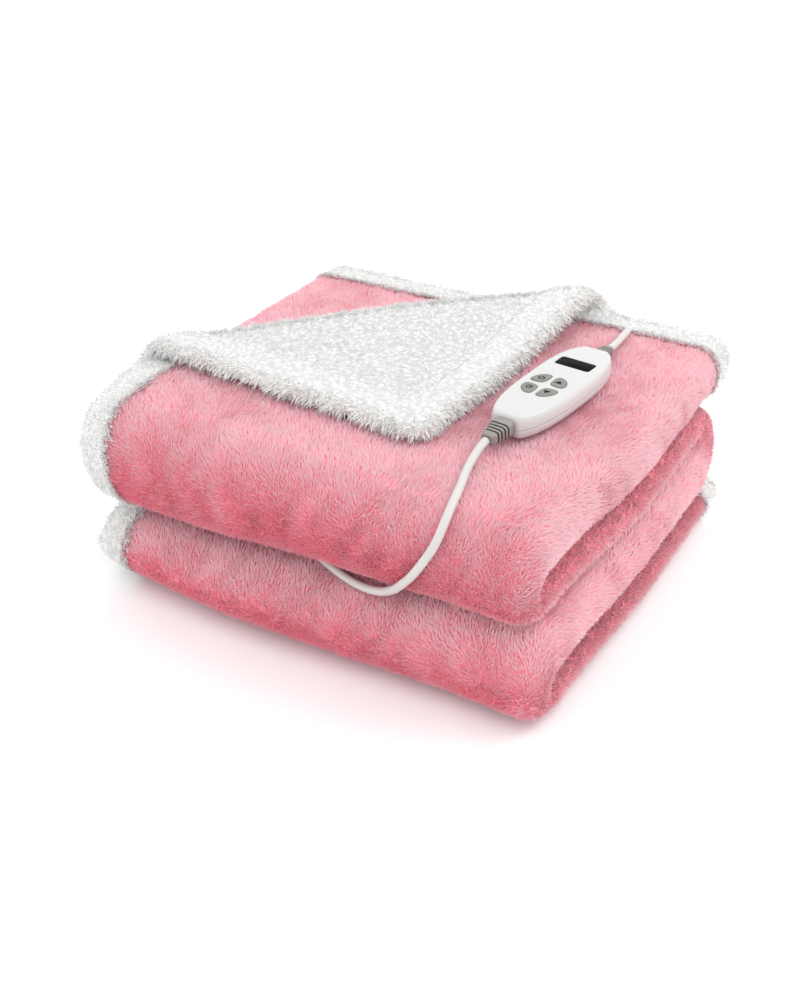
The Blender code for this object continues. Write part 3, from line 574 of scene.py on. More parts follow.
def past_crease(u, v):
    """Flat place on the top layer, and its distance past the turned corner's crease."""
    x, y = X_RIGHT - (u - TOP_LAYER_START), Y_END - v
    return x, y, (x - CREASE_LEFT[0]) * CREASE_PAST[0] + (y - CREASE_LEFT[1]) * CREASE_PAST[1]


def on_crease(x, y, s):
    """The foot of a flat place on the turned corner's crease, and the radius of the bend there."""
    foot_x, foot_y = x - CREASE_PAST[0] * s, y - CREASE_PAST[1] * s
    share = np.hypot(foot_x - CREASE_LEFT[0], foot_y - CREASE_LEFT[1]) / CREASE_LENGTH
    return foot_x, foot_y, between(RIDGE_RADIUS, smooth(share * 1.4))


def on_top(u, v):
    """True on the top layer of leg 1, where the corner is turned back."""
    return (u > TOP_LAYER_START) & (v < ALONG[0].length)


def top_layer(u, v, o):
    """The top layer of leg 1: its drooping left edge, and the corner that is turned back over the crease."""
    x, y, s = past_crease(u, v)
    hang = 1 - smooth((s - DROOP_FADE[0]) / (DROOP_FADE[1] - DROOP_FADE[0]))
    radius = DROOP_RADIUS / np.maximum(hang, 1e-4)
    a = (X_LEFT - x) / radius
    droops = (x < X_LEFT) & (hang > 1e-4)
    h = np.where(droops, TOP - radius + (radius + o) * np.cos(a), TOP + o)
    foot_x, foot_y, ridge = on_crease(x, y, s)
    x = np.where(droops, X_LEFT - (radius + o) * np.sin(a), x)

    a = np.clip(s / ridge, 0.0, pi)
    back = np.maximum(s - pi * ridge, 0.0)
    reach = np.where(back > 0, -back, (ridge - o) * np.sin(a))
    drop = (2 * ridge - FLAP_LEVEL) * smooth(back / FLAP_SETTLE)
    turned = s > 0
    x = np.where(turned, foot_x + CREASE_PAST[0] * reach, x)
    y = np.where(turned, foot_y + CREASE_PAST[1] * reach, y)
    h = np.where(turned, TOP + ridge - (ridge - o) * np.cos(a) - drop, h)
    return x, y, Z_LEG_1 + h


def settle(x, y, z):
    """Unevenness of the stack: smooth, and none at the floor, so that no two layers meet."""
    high = z / STACK
    upper = smooth((z - SHIFT_BAND[0]) / (SHIFT_BAND[1] - SHIFT_BAND[0]))
    front = smooth((FRONT_BAND[0] - y) / FRONT_BAND[1])

    start = np.where(z < Z_GAP, 0.0, Z_GAP + 2 * BACK_INSIDE)
    side_sag = SIDE_SAG * smooth((x - SAG_RIGHT[0]) / SAG_RIGHT[1]) * bump((z - start) / ROLL_PITCH)
    hang = CREASE_SAG * smooth((SAG_LEFT[0] - x) / SAG_LEFT[1]) * smooth((-SAG_FRONT[0] - y) / SAG_FRONT[1])
    hang *= bump((z - SAG_BAND[0]) / (SAG_BAND[1] - SAG_BAND[0]))
    closed = smooth((x + CLOSED_BAND[0]) / CLOSED_BAND[1])
    closed *= 1 - 0.85 * smooth((y + CLOSED_BACK[0]) / CLOSED_BACK[1])
    in_gap = np.clip((z - Z_GAP) / (2 * BACK_INSIDE), 0.0, 1.0)
    crown = CROWN[0] * np.cos(7.5 * x + 0.6) * np.cos(6.0 * y) - CROWN[1] * smooth((-0.10 - y) / 0.09)
    lift = high * crown - GAP_CLOSED * closed * in_gap - side_sag - hang

    bulge = between(FRONT_BULGE, upper) * smooth((x - FULL[0]) / FULL[1]) * (1 - 0.45 * smooth(x / 0.21))
    ripple = RIPPLE * np.minimum(6 * high, 1.0) * np.sin(11.0 * x + 18.0 * z)
    corner_in = between(NEAR_CORNER_IN, upper) * smooth((x - RIGHT_BAND[0]) / RIGHT_BAND[1])
    slide = LOW_ROLL_SHIFT * (1 - upper) - corner_in * front
    return x + slide, y - front * (bulge - ripple), z + lift


def round_corner(u, v):
    """The cloth's four cut corners are rounded."""
    a = CORNER_ROUND - np.minimum(u, WIDE - u)
    b = CORNER_ROUND - np.minimum(v, LONG - v)
    inside = (a > 0) & (b > 0)
    pull = np.where(inside, np.maximum(a, b) / np.maximum(np.hypot(a, b), 1e-9), 1.0)
    du, dv = CORNER_ROUND - a * pull, CORNER_ROUND - b * pull
    u = np.where(inside, np.where(u < WIDE / 2, du, WIDE - du), u)
    v = np.where(inside, np.where(v < LONG / 2, dv, LONG - dv), v)
    return u, v


def fold(u, v, o):
    """Pattern space to the folded throw, as an array of points."""
    u, v = round_corner(u, v)
    x, h, level = across(u, o)
    y, z = along(v, h, level)
    top = on_top(u, v)
    tx, ty, tz = top_layer(u, v, o)
    x, y, z = settle(np.where(top, tx, x), np.where(top, ty, y), np.where(top, tz, z))
    return np.stack((x, y, z), axis=-1)


def to_edge(u, v):
    return np.minimum(np.minimum(u, WIDE - u), np.minimum(v, LONG - v))


def ground_height(u, v):
    """Top of the plush's knitted ground: half the cloth's thickness, and nearly all of it beside the hem."""
    return PLUSH * (0.5 + 0.4 * (1 - smooth((to_edge(u, v) - HEM) / 0.006)))


def rim(edge):
    """Share of the full thickness at this distance from the cut edge."""
    t = 1 - np.minimum(edge / HEM_ROUND, 1.0)
    return np.maximum(np.sqrt(np.maximum(1 - t * t, 0.0)), 0.28)


def sherpa_under(u, v):
    edge = to_edge(u, v)
    rise = np.where(on_top(u, v), HEM_RISE * smooth(past_crease(u, v)[2] / HEM_RISE_IN), 0.0)
    hem = HEM_MIDDLE - (SHERPA + rise + HEM_MIDDLE) * rim(edge)
    return np.where(edge > HEM - HEM_STEP / 2, -SHERPA, hem)


def sherpa_over(u, v):
    edge = to_edge(u, v)
    hem = HEM_MIDDLE + (PLUSH - HEM_MIDDLE) * rim(edge)
    return np.where(edge > HEM - HEM_STEP / 2, -SEAM_GAP / 2, hem)


def face_height(u, v, side):
    """Height of the cloth's outer face on the pink side (+1) or on the sherpa side (-1)."""
    if side < 0:
        return sherpa_under(u, v)
    return np.where(to_edge(u, v) > HEM, PLUSH, sherpa_over(u, v))


def curl_height(u, v, side):
    """Height at which the curls stand: as face_height, but with no step at the hem's inner edge."""
    edge = to_edge(u, v)
    if side > 0:
        return HEM_MIDDLE + (PLUSH - HEM_MIDDLE) * rim(edge)
    rise = np.where(on_top(u, v), HEM_RISE * smooth(past_crease(u, v)[2] / HEM_RISE_IN), 0.0)
    inner = -SHERPA - rise * (1 - smooth((edge - HEM + 0.006) / 0.012))
    return np.where(edge > HEM - 0.008, inner, sherpa_under(u, v))


# --- Meshes ------------------------------------------------------------------------------------------------
def linked(name, data, material=None):
    """A new object in the scene, with its one material."""
    obj = bpy.data.objects.new(name, data)
    if material:
        data.materials.append(material)
    bpy.context.scene.collection.objects.link(obj)
    return obj


def add_piece(name, data, material, body=BODY):
    """A finished mesh or curve as a piece that rides on a body."""
    obj = linked(name, data, material)
    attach(obj, body)
    return obj


def finished(bm, name):
    """Turns a bmesh into a mesh, and frees it."""
    mesh = bpy.data.meshes.new(name)
    bm.to_mesh(mesh)
    bm.free()
    return mesh


def skin(bm, rings):
    """Faces from ring to ring and at both ends. Returns the strips of faces between the rings."""
    strips = []
    for low, high in zip(rings, rings[1:]):
        corners = zip(low, low[1:] + low[:1], high[1:] + high[:1], high)
        strips.append([bm.faces.new(four) for four in corners])
    bm.faces.new(rings[0][::-1])
    bm.faces.new(rings[-1])
    return strips


def mesh_from(name, points, faces, smooth_shading=True):
    mesh = bpy.data.meshes.new(name)
    mesh.from_pydata(points, [], faces)
    if smooth_shading:
        mesh.shade_smooth()
    return mesh


def grid_lines(runs, cloth, edge, border):
    """Grid lines across or along the pattern, from edge to edge, with the hem's own lines at both ends."""
    total = sum(run.length for run in runs)
    lines = list(border) + [total - line for line in border]
    start = 0.0
    for run in runs:
        cells = max(1, round(run.length / run.step[cloth]))
        lines += [start + run.length * i / cells for i in range(cells)]
        start += run.length
    lines = sorted(line for line in lines if edge - 1e-6 <= line <= total - edge + 1e-6)
    kept = [lines[0]]
    for line in lines[1:]:
        near_hem = min(line, total - line) <= HEM + 1e-6
        if line - kept[-1] > (HEM_STEP * 0.9 if near_hem else 0.0018):
            kept.append(line)
    kept[-1] = lines[-1]
    return np.array(kept)


def sheet_mesh(name, us, vs, under, over):
    """A closed sheet: a grid in pattern space with an under and an over side, folded."""
    u, v = (a.ravel() for a in np.meshgrid(us, vs, indexing="ij"))
    points = np.concatenate((fold(u, v, under(u, v)), fold(u, v, over(u, v))))
    rows, columns = len(us), len(vs)
    index = np.arange(rows * columns).reshape(rows, columns)
    a, b, c, d = index[:-1, :-1], index[1:, :-1], index[1:, 1:], index[:-1, 1:]
    under_faces = np.stack((a, d, c, b), axis=-1).reshape(-1, 4)
    over_faces = np.stack((a, b, c, d), axis=-1).reshape(-1, 4) + rows * columns
    ring = np.concatenate((index[:-1, 0], index[-1, :-1], index[:0:-1, -1], index[0, :0:-1]))
    after = np.roll(ring, -1)
    wall = np.stack((ring, after, after + rows * columns, ring + rows * columns), axis=-1)
    return mesh_from(name, points, np.concatenate((under_faces, over_faces, wall)))


# --- Pile --------------------------------------------------------------------------------------------------
CELL = 0.008  # size of the pattern's cells in which open_sky is looked up
RAY_START = 0.0015  # height over the face at which its rays start
EDGE_BAND = 0.012  # width of the band along the cut edge that keeps its pile in narrower gaps
ENOUGH_SKY = (0.03, 0.15)  # share of open sky at which the pile is whole: in that band, and elsewhere
PILE_ROOT = 0.35  # share of the plush's thickness at which its tufts start
PLUSH_ENDS = 0.004  # past the crease the pink side lies under the turned corner, and has no tufts from here
NAP = 1.15  # how far the pink tufts lean over: 0 is upright and 1 is 45 degrees
HANGING_LEGS = (2, 6)  # in ALONG: the lower leg of each front roll
HANGING_NAP = 0.45  # share of the nap that is left there
TONE = 0.34  # how pale the pink tufts are: on the fronts of the rolls
TOP_PAINTED_LIGHT = 0.44  # painted light: paler by this much more where they face up
SIDE_PAINTED_LIGHT = (0.45, 0.66)  # painted light: paler by this much more where they face right, elsewhere and on the hanging legs
CURL_TONE_AND_LIGHT = (0.12, 0.78)  # how white the curls are on the field, and how much whiter on the hem and the ridge: painted light
FRINGE = (0.002, 0.008)  # the fringe fades out from this far inside the cut edge, over this length
SEAM_FRINGE = (0.006, 0.005)  # the seam's fringe grows from this far before the seam, over this length
RIDGE_CURLS = ((1.2, 0.8), (2.6, 0.7))  # (bend at which the ridge's fuller curls start or end, over how much)


def waves(u, v, size, seed):
    """Smooth random hills of about this size over the pattern, from -1 to 1."""
    rng = np.random.default_rng(seed)
    total = 0.0
    turns, phases, scales = rng.uniform(0, 2 * pi, 7), rng.uniform(0, 2 * pi, 7), rng.uniform(0.6, 1.6, 7)
    for turn, phase, scale in zip(turns, phases, scales):
        k = 2 * pi / (size * 2 * scale)
        total = total + np.sin(k * (u * cos(turn) + v * sin(turn)) + phase)
    return np.clip(total / 3.0, -1, 1)


def sky_rays():
    """Directions over half a sphere about +Z."""
    rays = [(0.0, 0.0, 1.0)]
    for height, count in ((0.75, 5), (0.35, 8)):
        flat = (1 - height * height) ** 0.5
        for i in range(count):
            a = 2 * pi * i / count
            rays.append((flat * cos(a), flat * sin(a), height))
    return [Vector(ray) for ray in rays]


def cloth_tree():
    """Both cloths' solids, to cast rays at."""
    points, faces = [], []
    for name in ("plush_face", "sherpa_backing"):
        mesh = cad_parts[name].data
        faces += [tuple(i + len(points) for i in face.vertices) for face in mesh.polygons]
        points += [vert.co.copy() for vert in mesh.vertices]
    return BVHTree.FromPolygons(points, faces)


@cache
def open_sky(side, reach=0.06):
    """For each cell of the pattern, on one side of the cloth (+1 pink, -1 sherpa): its folded area over its
    flat area, and the share of directions from it in which no cloth and no floor is near."""
    rows, columns = int(WIDE / CELL) + 1, int(LONG / CELL) + 1
    u, v = np.meshgrid((np.arange(rows) + 0.5) * CELL, (np.arange(columns) + 0.5) * CELL, indexing="ij")
    u, v = np.minimum(u.ravel(), WIDE - 1e-4), np.minimum(v.ravel(), LONG - 1e-4)
    here, normals, _, _, area = outward(u, v, face_height, side)
    tree = cloth_tree()
    rays = sky_rays()
    up = Vector((0, 0, 1))
    shares = np.zeros(len(u))
    for i, (point, normal) in enumerate(zip(here, normals)):
        normal = Vector(normal)
        start = Vector(point) + normal * RAY_START
        turn = up.rotation_difference(normal)
        ways = [turn @ ray for ray in rays]
        above = [way for way in ways if start.z + way.z * reach > 0]
        shares[i] = sum(tree.ray_cast(start, way, reach)[0] is None for way in above) / len(rays)
    return area.reshape(rows, columns), shares.reshape(rows, columns)


def outward(u, v, height, side):
    """Points on one face of the folded sheet, its normals and its two run directions there, and how much area
    the fold gives the pattern. height(u, v, side) is the face's own height."""
    step = 0.0004

    def at(du, dv):
        pu, pv = np.clip(u + du, 0, WIDE), np.clip(v + dv, 0, LONG)
        return fold(pu, pv, height(pu, pv, side))

    here = at(0, 0)
    run_u, run_v = (at(step, 0) - at(-step, 0)) / (2 * step), (at(0, step) - at(0, -step)) / (2 * step)
    normal = np.cross(run_u, run_v)
    area = np.linalg.norm(normal, axis=1)
    rising = fold(u, v, height(u, v, side) + side * step) - here
    normal *= np.sign(np.sum(normal * rising, axis=1))[:, None]
    return here, unit(normal), unit(run_u), unit(run_v), area


def unit(vectors):
    return vectors / np.maximum(np.linalg.norm(vectors, axis=-1, keepdims=True), 1e-9)


def sown(side, spacing, seed, keep):
    """Pattern places for tufts: an uneven lattice, thinned to one density over the folded surface, where the
    sky is open. keep(u, v) says which places of the pattern have this pile."""
    rng = np.random.default_rng(seed)
    lattice = spacing / 1.5
    u, v = np.meshgrid(np.arange(0, WIDE, lattice), np.arange(0, LONG, lattice), indexing="ij")
    u = np.clip(u.ravel() + rng.uniform(0, lattice, u.size), 0, WIDE - 1e-5)
    v = np.clip(v.ravel() + rng.uniform(0, lattice, v.size), 0, LONG - 1e-5)
    area, shares = (cells[(u / CELL).astype(int), (v / CELL).astype(int)] for cells in open_sky(side))
    enough = np.where(to_edge(u, v) < EDGE_BAND, *ENOUGH_SKY)
    chance = area * (lattice / spacing) ** 2 * smooth(shares / enough)
    chosen = (rng.uniform(0, 1, len(u)) < chance) & keep(u, v)
    return u[chosen], v[chosen]


def tufts(name, roots, normals, leans, lengths, radii, tones_and_light, material):
    """Three-sided flat-shaded tufts, none of them below the floor. reach is 0 at a tuft's root and 1 at its
    tip, and tone is one value a tuft."""
    count = len(roots)
    lean = unit(leans)
    sides = np.cross(normals, lean)
    points = np.empty((count, 4, 3))
    for k in range(3):
        turn = 2 * pi * k / 3
        points[:, k] = roots + (lean * cos(turn) + sides * sin(turn)) * radii[:, None]
    points[:, 3] = roots + unit(normals + leans) * lengths[:, None]
    points[..., 2] = np.maximum(points[..., 2], 0.0)
    base = np.arange(count)[:, None] * 4
    faces = np.concatenate([base + np.array(face) for face in ((0, 1, 3), (1, 2, 3), (2, 0, 3))])
    mesh = mesh_from(name, points.reshape(-1, 3), faces, smooth_shading=False)
    # The second attribute holds each tuft's random tone together with its painted light.
    for label, values in (("reach", np.tile((0.0, 0.0, 0.0, 1.0), count)), ("tone_and_light", np.repeat(tones_and_light, 4))):
        mesh.attributes.new(label, "FLOAT", "POINT").data.foreach_set("value", values.astype(np.float32))
    return add_piece(name, mesh, material)


def plush_pile(name, material, cloth, span, spacing, seed):
    """Pink tufts on the part of the cloth whose v lies in span."""

    def keep(u, v):
        inside = to_edge(u, v) > HEM + SEAM_GAP + 0.0010
        under_flap = on_top(u, v) & (past_crease(u, v)[2] > PLUSH_ENDS)
        return inside & (v >= span[0]) & (v < span[1]) & ~under_flap

    u, v = sown(1, spacing, seed, keep)
    rng = np.random.default_rng(seed + 1)
    here, normal, run_u, run_v, _ = outward(u, v, lambda u, v, side: 0 * u + PLUSH * PILE_ROOT, 1)
    swirl = 0.6 * waves(u, v, 0.055, 5) + 0.4 * waves(u, v, 0.014, 6) + rng.normal(0, 0.35, len(u))
    lean = run_u * np.sin(swirl)[:, None] - run_v * np.cos(swirl)[:, None]
    slope = NAP + 0.2 * waves(u, v, 0.025, 7) + rng.normal(0, 0.25, len(u))
    hanging = np.isin(within(ALONG, v)[0], HANGING_LEGS)
    slope = np.where(hanging, HANGING_NAP * slope, slope)
    lean = lean * np.clip(slope, 0.2, 2.2)[:, None]
    lengths = cloth.plush_pile * rng.uniform(0.8, 1.15, len(u)) * (1 + 0.08 * waves(u, v, 0.009, 8))
    radii = cloth.plush_spot * rng.uniform(0.8, 1.2, len(u))
    # Painted light: the tufts are paler where the cloth faces up and where it faces right, most on the
    # hanging legs; the waves and the noise add random tone.
    side = np.clip(normal[:, 0], 0, 1)
    tones_and_light = TONE + TOP_PAINTED_LIGHT * np.clip(normal[:, 2], 0, 1)
    tones_and_light += side * np.where(hanging, SIDE_PAINTED_LIGHT[1], SIDE_PAINTED_LIGHT[0])
    tones_and_light += 0.08 * waves(u, v, 0.03, 9) + 0.1 * waves(u, v, 0.008, 10)
    tones_and_light += rng.normal(0, 0.22, len(u)) * (1 - 0.3 * side)
    return tufts(name, here, normal, lean, lengths, radii, np.clip(tones_and_light, 0, 1), material)


def edge_way(u, v):
    """Which way in the pattern the nearest cut edge lies, as (du, dv)."""
    nearest = np.argmin(np.stack((u, WIDE - u, v, LONG - v)), axis=0)
    return np.choose(nearest, (-1, 1, 0, 0))[:, None], np.choose(nearest, (0, 0, -1, 1))[:, None]


def sherpa_pile(name, material, cloth, side, spacing, seed):
    """White curls: on the backing (side -1), or on the hem that wraps round to the pink side (side +1). They
    are longest at the cut edge, where they lean outwards, and at the seam, where they lean over the pink."""

    def keep(u, v):
        return (side < 0) | (to_edge(u, v) < HEM + 0.0035)

    u, v = sown(side, spacing, seed, keep)
    rng = np.random.default_rng(seed + 1)
    edge = to_edge(u, v)
    fringe = 1 - smooth((edge - FRINGE[0]) / FRINGE[1])
    seam = smooth((edge - HEM + SEAM_FRINGE[0]) / SEAM_FRINGE[1]) if side > 0 else 0.0 * edge
    x, y, s = past_crease(u, v)
    bend = s / on_crease(x, y, s)[2]
    grows, fades = (smooth((bend - start) / over) for start, over in RIDGE_CURLS)
    ridge = np.where(on_top(u, v), 0.8 * grows * (1 - fades), 0.0)
    loose = np.maximum(np.maximum(fringe, seam), ridge)
    here, normal, run_u, run_v, _ = outward(u, v, curl_height, side)
    du, dv = edge_way(u, v)
    away = run_u * du + run_v * dv
    turn = rng.uniform(0, 2 * pi, len(u)) * 0.6 + 3.0 * waves(u, v, 0.010, 21 + side)
    lean = run_u * np.cos(turn)[:, None] + run_v * np.sin(turn)[:, None]
    lean = lean * (rng.uniform(1.45, 1.95, len(u)) * (1 - 0.65 * loose))[:, None]
    lock = np.clip(1 + 0.9 * waves(u, v, 0.0035, 41) + rng.normal(0, 0.3, len(u)), 0, 2.2)
    lean += away * ((0.8 * fringe - 0.9 * seam) * lock)[:, None]
    lean[:, 2] -= 0.6 * fringe * lock
    uneven = 1 + rng.uniform(-0.1, 0.1, len(u)) * (1 + 1.5 * loose)
    lengths = cloth.sherpa_pile * uneven * (0.72 + 0.55 * loose * lock)
    roots = here - normal * (lengths * (0.4 - 0.2 * loose))[:, None]
    radii = cloth.sherpa_spot * rng.uniform(0.8, 1.2, len(u)) * (1 - 0.45 * loose)
    # Painted light: whiter on the hem and the ridge; the waves and the noise add random tone.
    hem = 1 - smooth((edge - HEM) / 0.01)
    tones_and_light = CURL_TONE_AND_LIGHT[0] + CURL_TONE_AND_LIGHT[1] * np.maximum(hem, ridge) + 0.1 * waves(u, v, 0.012, 31)
    tones_and_light += rng.normal(0, 0.03, len(u))
    return tufts(name, roots, normal, lean, lengths, radii, np.clip(tones_and_light, 0, 1), material)


# --- Leads -------------------------------------------------------------------------------------------------
def run_length(points):
    return sum((q - p).length for p, q in zip(points, points[1:]))


def spline_points(route, spacing):
    """Points at an even spacing on the smooth curve through the route's own points."""
    points = [Vector(p) for p in route]
    ends = [2 * points[0] - points[1]] + points + [2 * points[-1] - points[-2]]
    fine = []
    for i in range(1, len(ends) - 2):
        a, b, c, d = ends[i - 1 : i + 3]
        for step in range(24):
            t = step / 24
            square, cube = 2 * a - 5 * b + 4 * c - d, 3 * b - a - 3 * c + d
            fine.append(b + ((c - a) * t + square * t**2 + cube * t**3) / 2)
    fine.append(points[-1])
    total = run_length(fine)
    count = max(2, round(total / spacing))
    kept, walked, target = [fine[0]], 0.0, total / count
    for p, q in zip(fine, fine[1:]):
        step = (q - p).length
        while walked + step >= target - 1e-9 and len(kept) < count:
            kept.append(p.lerp(q, (target - walked) / step))
            target += total / count
        walked += step
    return kept + [fine[-1]]


def coil_points():
    """Six turns in two layers: inwards along the floor, up at the middle ring, and outwards on top."""
    points = []
    samples = 16
    start, end = -COIL_STEP, COIL_TURNS + COIL_STEP
    count = round((end - start) * samples)
    for i in range(1, count):
        t = start + (end - start) * i / count
        ring = min(max(round(t), 0), COIL_TURNS)
        share = float(smooth((t - ring + COIL_STEP) / (2 * COIL_STEP)))
        radius = between(COIL_RADII[ring : ring + 2], share)
        middle = COIL_TURNS // 2
        depth, half = COIL_DIP
        radius -= depth * float(bump((t - middle + half) / (2 * half)))
        climb = float(smooth((t - middle + COIL_STEP) / (2 * COIL_STEP)))
        angle = 2 * pi * t - pi / 2
        x, y = COIL_CENTRE[0] + radius * cos(angle), COIL_CENTRE[1] + radius * sin(angle)
        points.append(Vector((x, y, between(COIL_LAYERS, climb))))
    return points


def lead_piece(name, points, material):
    """A round sheathed lead as one smooth open curve."""
    curve = bpy.data.curves.new(name, "CURVE")
    curve.dimensions = "3D"
    curve.bevel_depth = LEAD / 2
    curve.bevel_resolution = 4
    curve.use_fill_caps = True
    spline = curve.splines.new("POLY")
    spline.points.add(len(points) - 1)
    for point, place in zip(spline.points, points):
        point.co = (*place, 1.0)
    spline.use_smooth = True
    return add_piece(name, curve, material)


# --- Moulded pieces ----------------------------------------------------------------------------------------
def box_place(x=0.0, y=0.0, z=0.0):
    """A place on the controller: from the middle of its underside, along its own axes."""
    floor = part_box("controller_base")[0].z
    box = Matrix.Translation((*BOX_CENTRE, floor)) @ Matrix.Rotation(BOX_TURN, 4, "Z")
    return box @ Matrix.Translation((x, y, z))


def box_outline(count=128):
    """Plan of the controller: a squared ellipse, a little wider at the rear, with flat ends."""
    points = []
    for i in range(count):
        a = 2 * pi * (i + 0.5) / count
        c, s = cos(a), sin(a)
        x = BOX_HALF_WIDTH * abs(c) ** (2 / BOX_SQUARENESS) * (1 if c > 0 else -1)
        y = BOX_HALF_LENGTH * abs(s) ** (2 / BOX_SQUARENESS) * (1 if s > 0 else -1)
        x *= 1 + BOX_TAPER * y / BOX_HALF_LENGTH
        points.append((x, min(max(y, BOX_FRONT), BOX_REAR)))
    return points


def squared(value):
    """Sine or cosine, drawn out so that a circle becomes a squarer shape."""
    return abs(value) ** 0.78 * (1 if value > 0 else -1)


def petal(angle, grow=0.0, count=48):
    """Plan of one key: a petal of a ring of four."""
    middle = radians(angle)
    points = []
    for i in range(count):
        a = -2 * pi * i / count
        out, along_ring = squared(sin(a)), squared(cos(a))
        reach = KEY_REACH + (KEY_HALF + grow) * out
        turn = middle + (KEY_SWEEP + grow / KEY_REACH) * along_ring * (0.90 + 0.10 * out)
        points.append((reach * cos(turn), reach * sin(turn) * KEY_STRETCH))
    return points


def rounded_rectangle(width, height, corner, steps=6):
    """Outline of a rectangle about the middle, with its corners rounded."""
    points = []
    for quarter in range(4):
        cx = (width / 2 - corner) * (1 if quarter in (0, 3) else -1)
        cy = (height / 2 - corner) * (1 if quarter < 2 else -1)
        for i in range(steps + 1):
            a = pi / 2 * (quarter + i / steps)
            points.append((cx + corner * cos(a), cy + corner * sin(a)))
    return points


def inset(outline, by):
    """An anticlockwise outline moved inwards by this much, corner by corner."""
    points = []
    for i, (x, y) in enumerate(outline):
        (ax, ay), (bx, by_) = outline[i - 1], outline[(i + 1) % len(outline)]
        run = hypot(bx - ax, by_ - ay)
        points.append((x - (by_ - ay) / run * by, y + (bx - ax) / run * by))
    return points


def shrunk(outline, by):
    """The outline drawn in towards its middle, by this much at its furthest points each way."""
    wide, deep = (max(abs(point[axis]) for point in outline) for axis in (0, 1))
    return [(x * (wide - by) / wide, y * (deep - by) / deep) for x, y in outline]


def moulding(name, outline, rows, material, place, body=BODY, holes=(), draw_in=shrunk, angle=40):
    """A moulded piece: the outline at each row of (height, inset), closed at both ends."""
    bm = bmesh.new()
    rings = []
    for height, by in rows:
        rings.append([bm.verts.new((x, y, height)) for x, y in draw_in(outline, by)])
    skin(bm, rings)
    bmesh.ops.recalc_face_normals(bm, faces=bm.faces[:])
    mesh = finished(bm, name)
    mesh.shade_smooth()
    obj = linked(name, mesh, material)
    obj.matrix_world = place
    for hole in holes:
        modifier = obj.modifiers.new("hole", "BOOLEAN")
        modifier.operation = "DIFFERENCE"
        modifier.object = hole
    apply(obj)
    obj.data.set_sharp_from_angle(angle=radians(angle))
    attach(obj, body)
    return obj


def apply(obj):
    """Puts an object's modifiers and its place into its mesh."""
    bpy.context.view_layer.update()
    deps = bpy.context.evaluated_depsgraph_get()
    mesh = bpy.data.meshes.new_from_object(obj.evaluated_get(deps))
    mesh.transform(obj.matrix_world)
    obj.modifiers.clear()
    obj.data = mesh
    obj.matrix_world = Matrix.Identity(4)


def key_middle(angle):
    """Middle of one key, from the middle of the ring of four."""
    return KEY_REACH * cos(radians(angle)), KEY_REACH * sin(radians(angle)) * KEY_STRETCH


# --- Operators ---------------------------------------------------------------------------------------------
class BuildStage(bpy.types.Operator):
    """Make the floor, the light and the camera."""

    bl_idname = "throw.stage"
    bl_label = "Stage"

    def execute(self, context):
        look = context.scene.throw_stage
        bm = bmesh.new()
        bmesh.ops.create_grid(bm, x_segments=1, y_segments=1, size=6.0)
        floor = linked("floor", finished(bm, "floor"), floor_finish(look.floor))
        floor.location.z = -FLOOR_DROP

        world = bpy.data.worlds.new("studio")
        world.use_nodes = True
        world.node_tree.nodes["Background"].inputs["Color"].default_value = (1.0, 1.0, 1.0, 1.0)
        world.node_tree.nodes["Background"].inputs["Strength"].default_value = look.sky
        context.scene.world = world
        for spot in LAMPS:
            light = bpy.data.lights.new(spot.name, "AREA")
            light.shape = "DISK"
            light.size = spot.size
            light.energy = look.lamp * spot.share
            lamp = linked(spot.name, light)
            lamp.location = spot.place
            way = Vector(LAMP_TARGET) - lamp.location
            lamp.rotation_euler = way.to_track_quat("-Z", "Y").to_euler()

        flat = cos(CAMERA_LIFT)
        way = Vector((sin(CAMERA_TURN) * flat, -cos(CAMERA_TURN) * flat, sin(CAMERA_LIFT)))
        camera = linked("camera", bpy.data.cameras.new("camera"))
        camera.data.lens = look.lens
        camera.data.sensor_width = 36.0
        camera.data.sensor_fit = "HORIZONTAL"
        camera.location = Vector(CAMERA_TARGET) + way * look.distance
        camera.rotation_euler = (-way).to_track_quat("-Z", "Y").to_euler()
        context.scene.camera = camera
        context.scene.view_settings.view_transform = "Standard"
        return {"FINISHED"}


class BuildLeads(bpy.types.Operator):
    """Make the mains lead with its tied coil and plug, and the short lead into the cloth."""

    bl_idname = "throw.leads"
    bl_label = "Leads"

    def execute(self, context):
        look = context.scene.throw_controller
        sheath = moulded_finish("Lead sheath", look.lead, 0.38, 0.00008)
        rubber = moulded_finish("Coil tie", look.relief, 0.6, 0.0001)
        metal = metal_finish("Plug blade", look.blade)
        for name, material in (
            ("coil_tie", rubber), ("plug_body", sheath), ("plug_blade_1", metal), ("plug_blade_2", metal),
        ):
            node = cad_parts[name]
            node.data.materials.clear()
            node.data.materials.append(material)
        route = spline_points(MAINS_ROUTE, 0.006) + coil_points() + spline_points(TAIL_ROUTE, 0.008)
        mains = lead_piece("mains_lead", route, sheath)
        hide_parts("mains_run", "mains_coil", "mains_tail")
        round(run_length(route), 3)
        route = spline_points(SHORT_ROUTE, 0.004)
        short = lead_piece("short_lead", route, sheath)
        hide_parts("lead_short")
        total = round(run_length(route), 4)
        return {"FINISHED"}


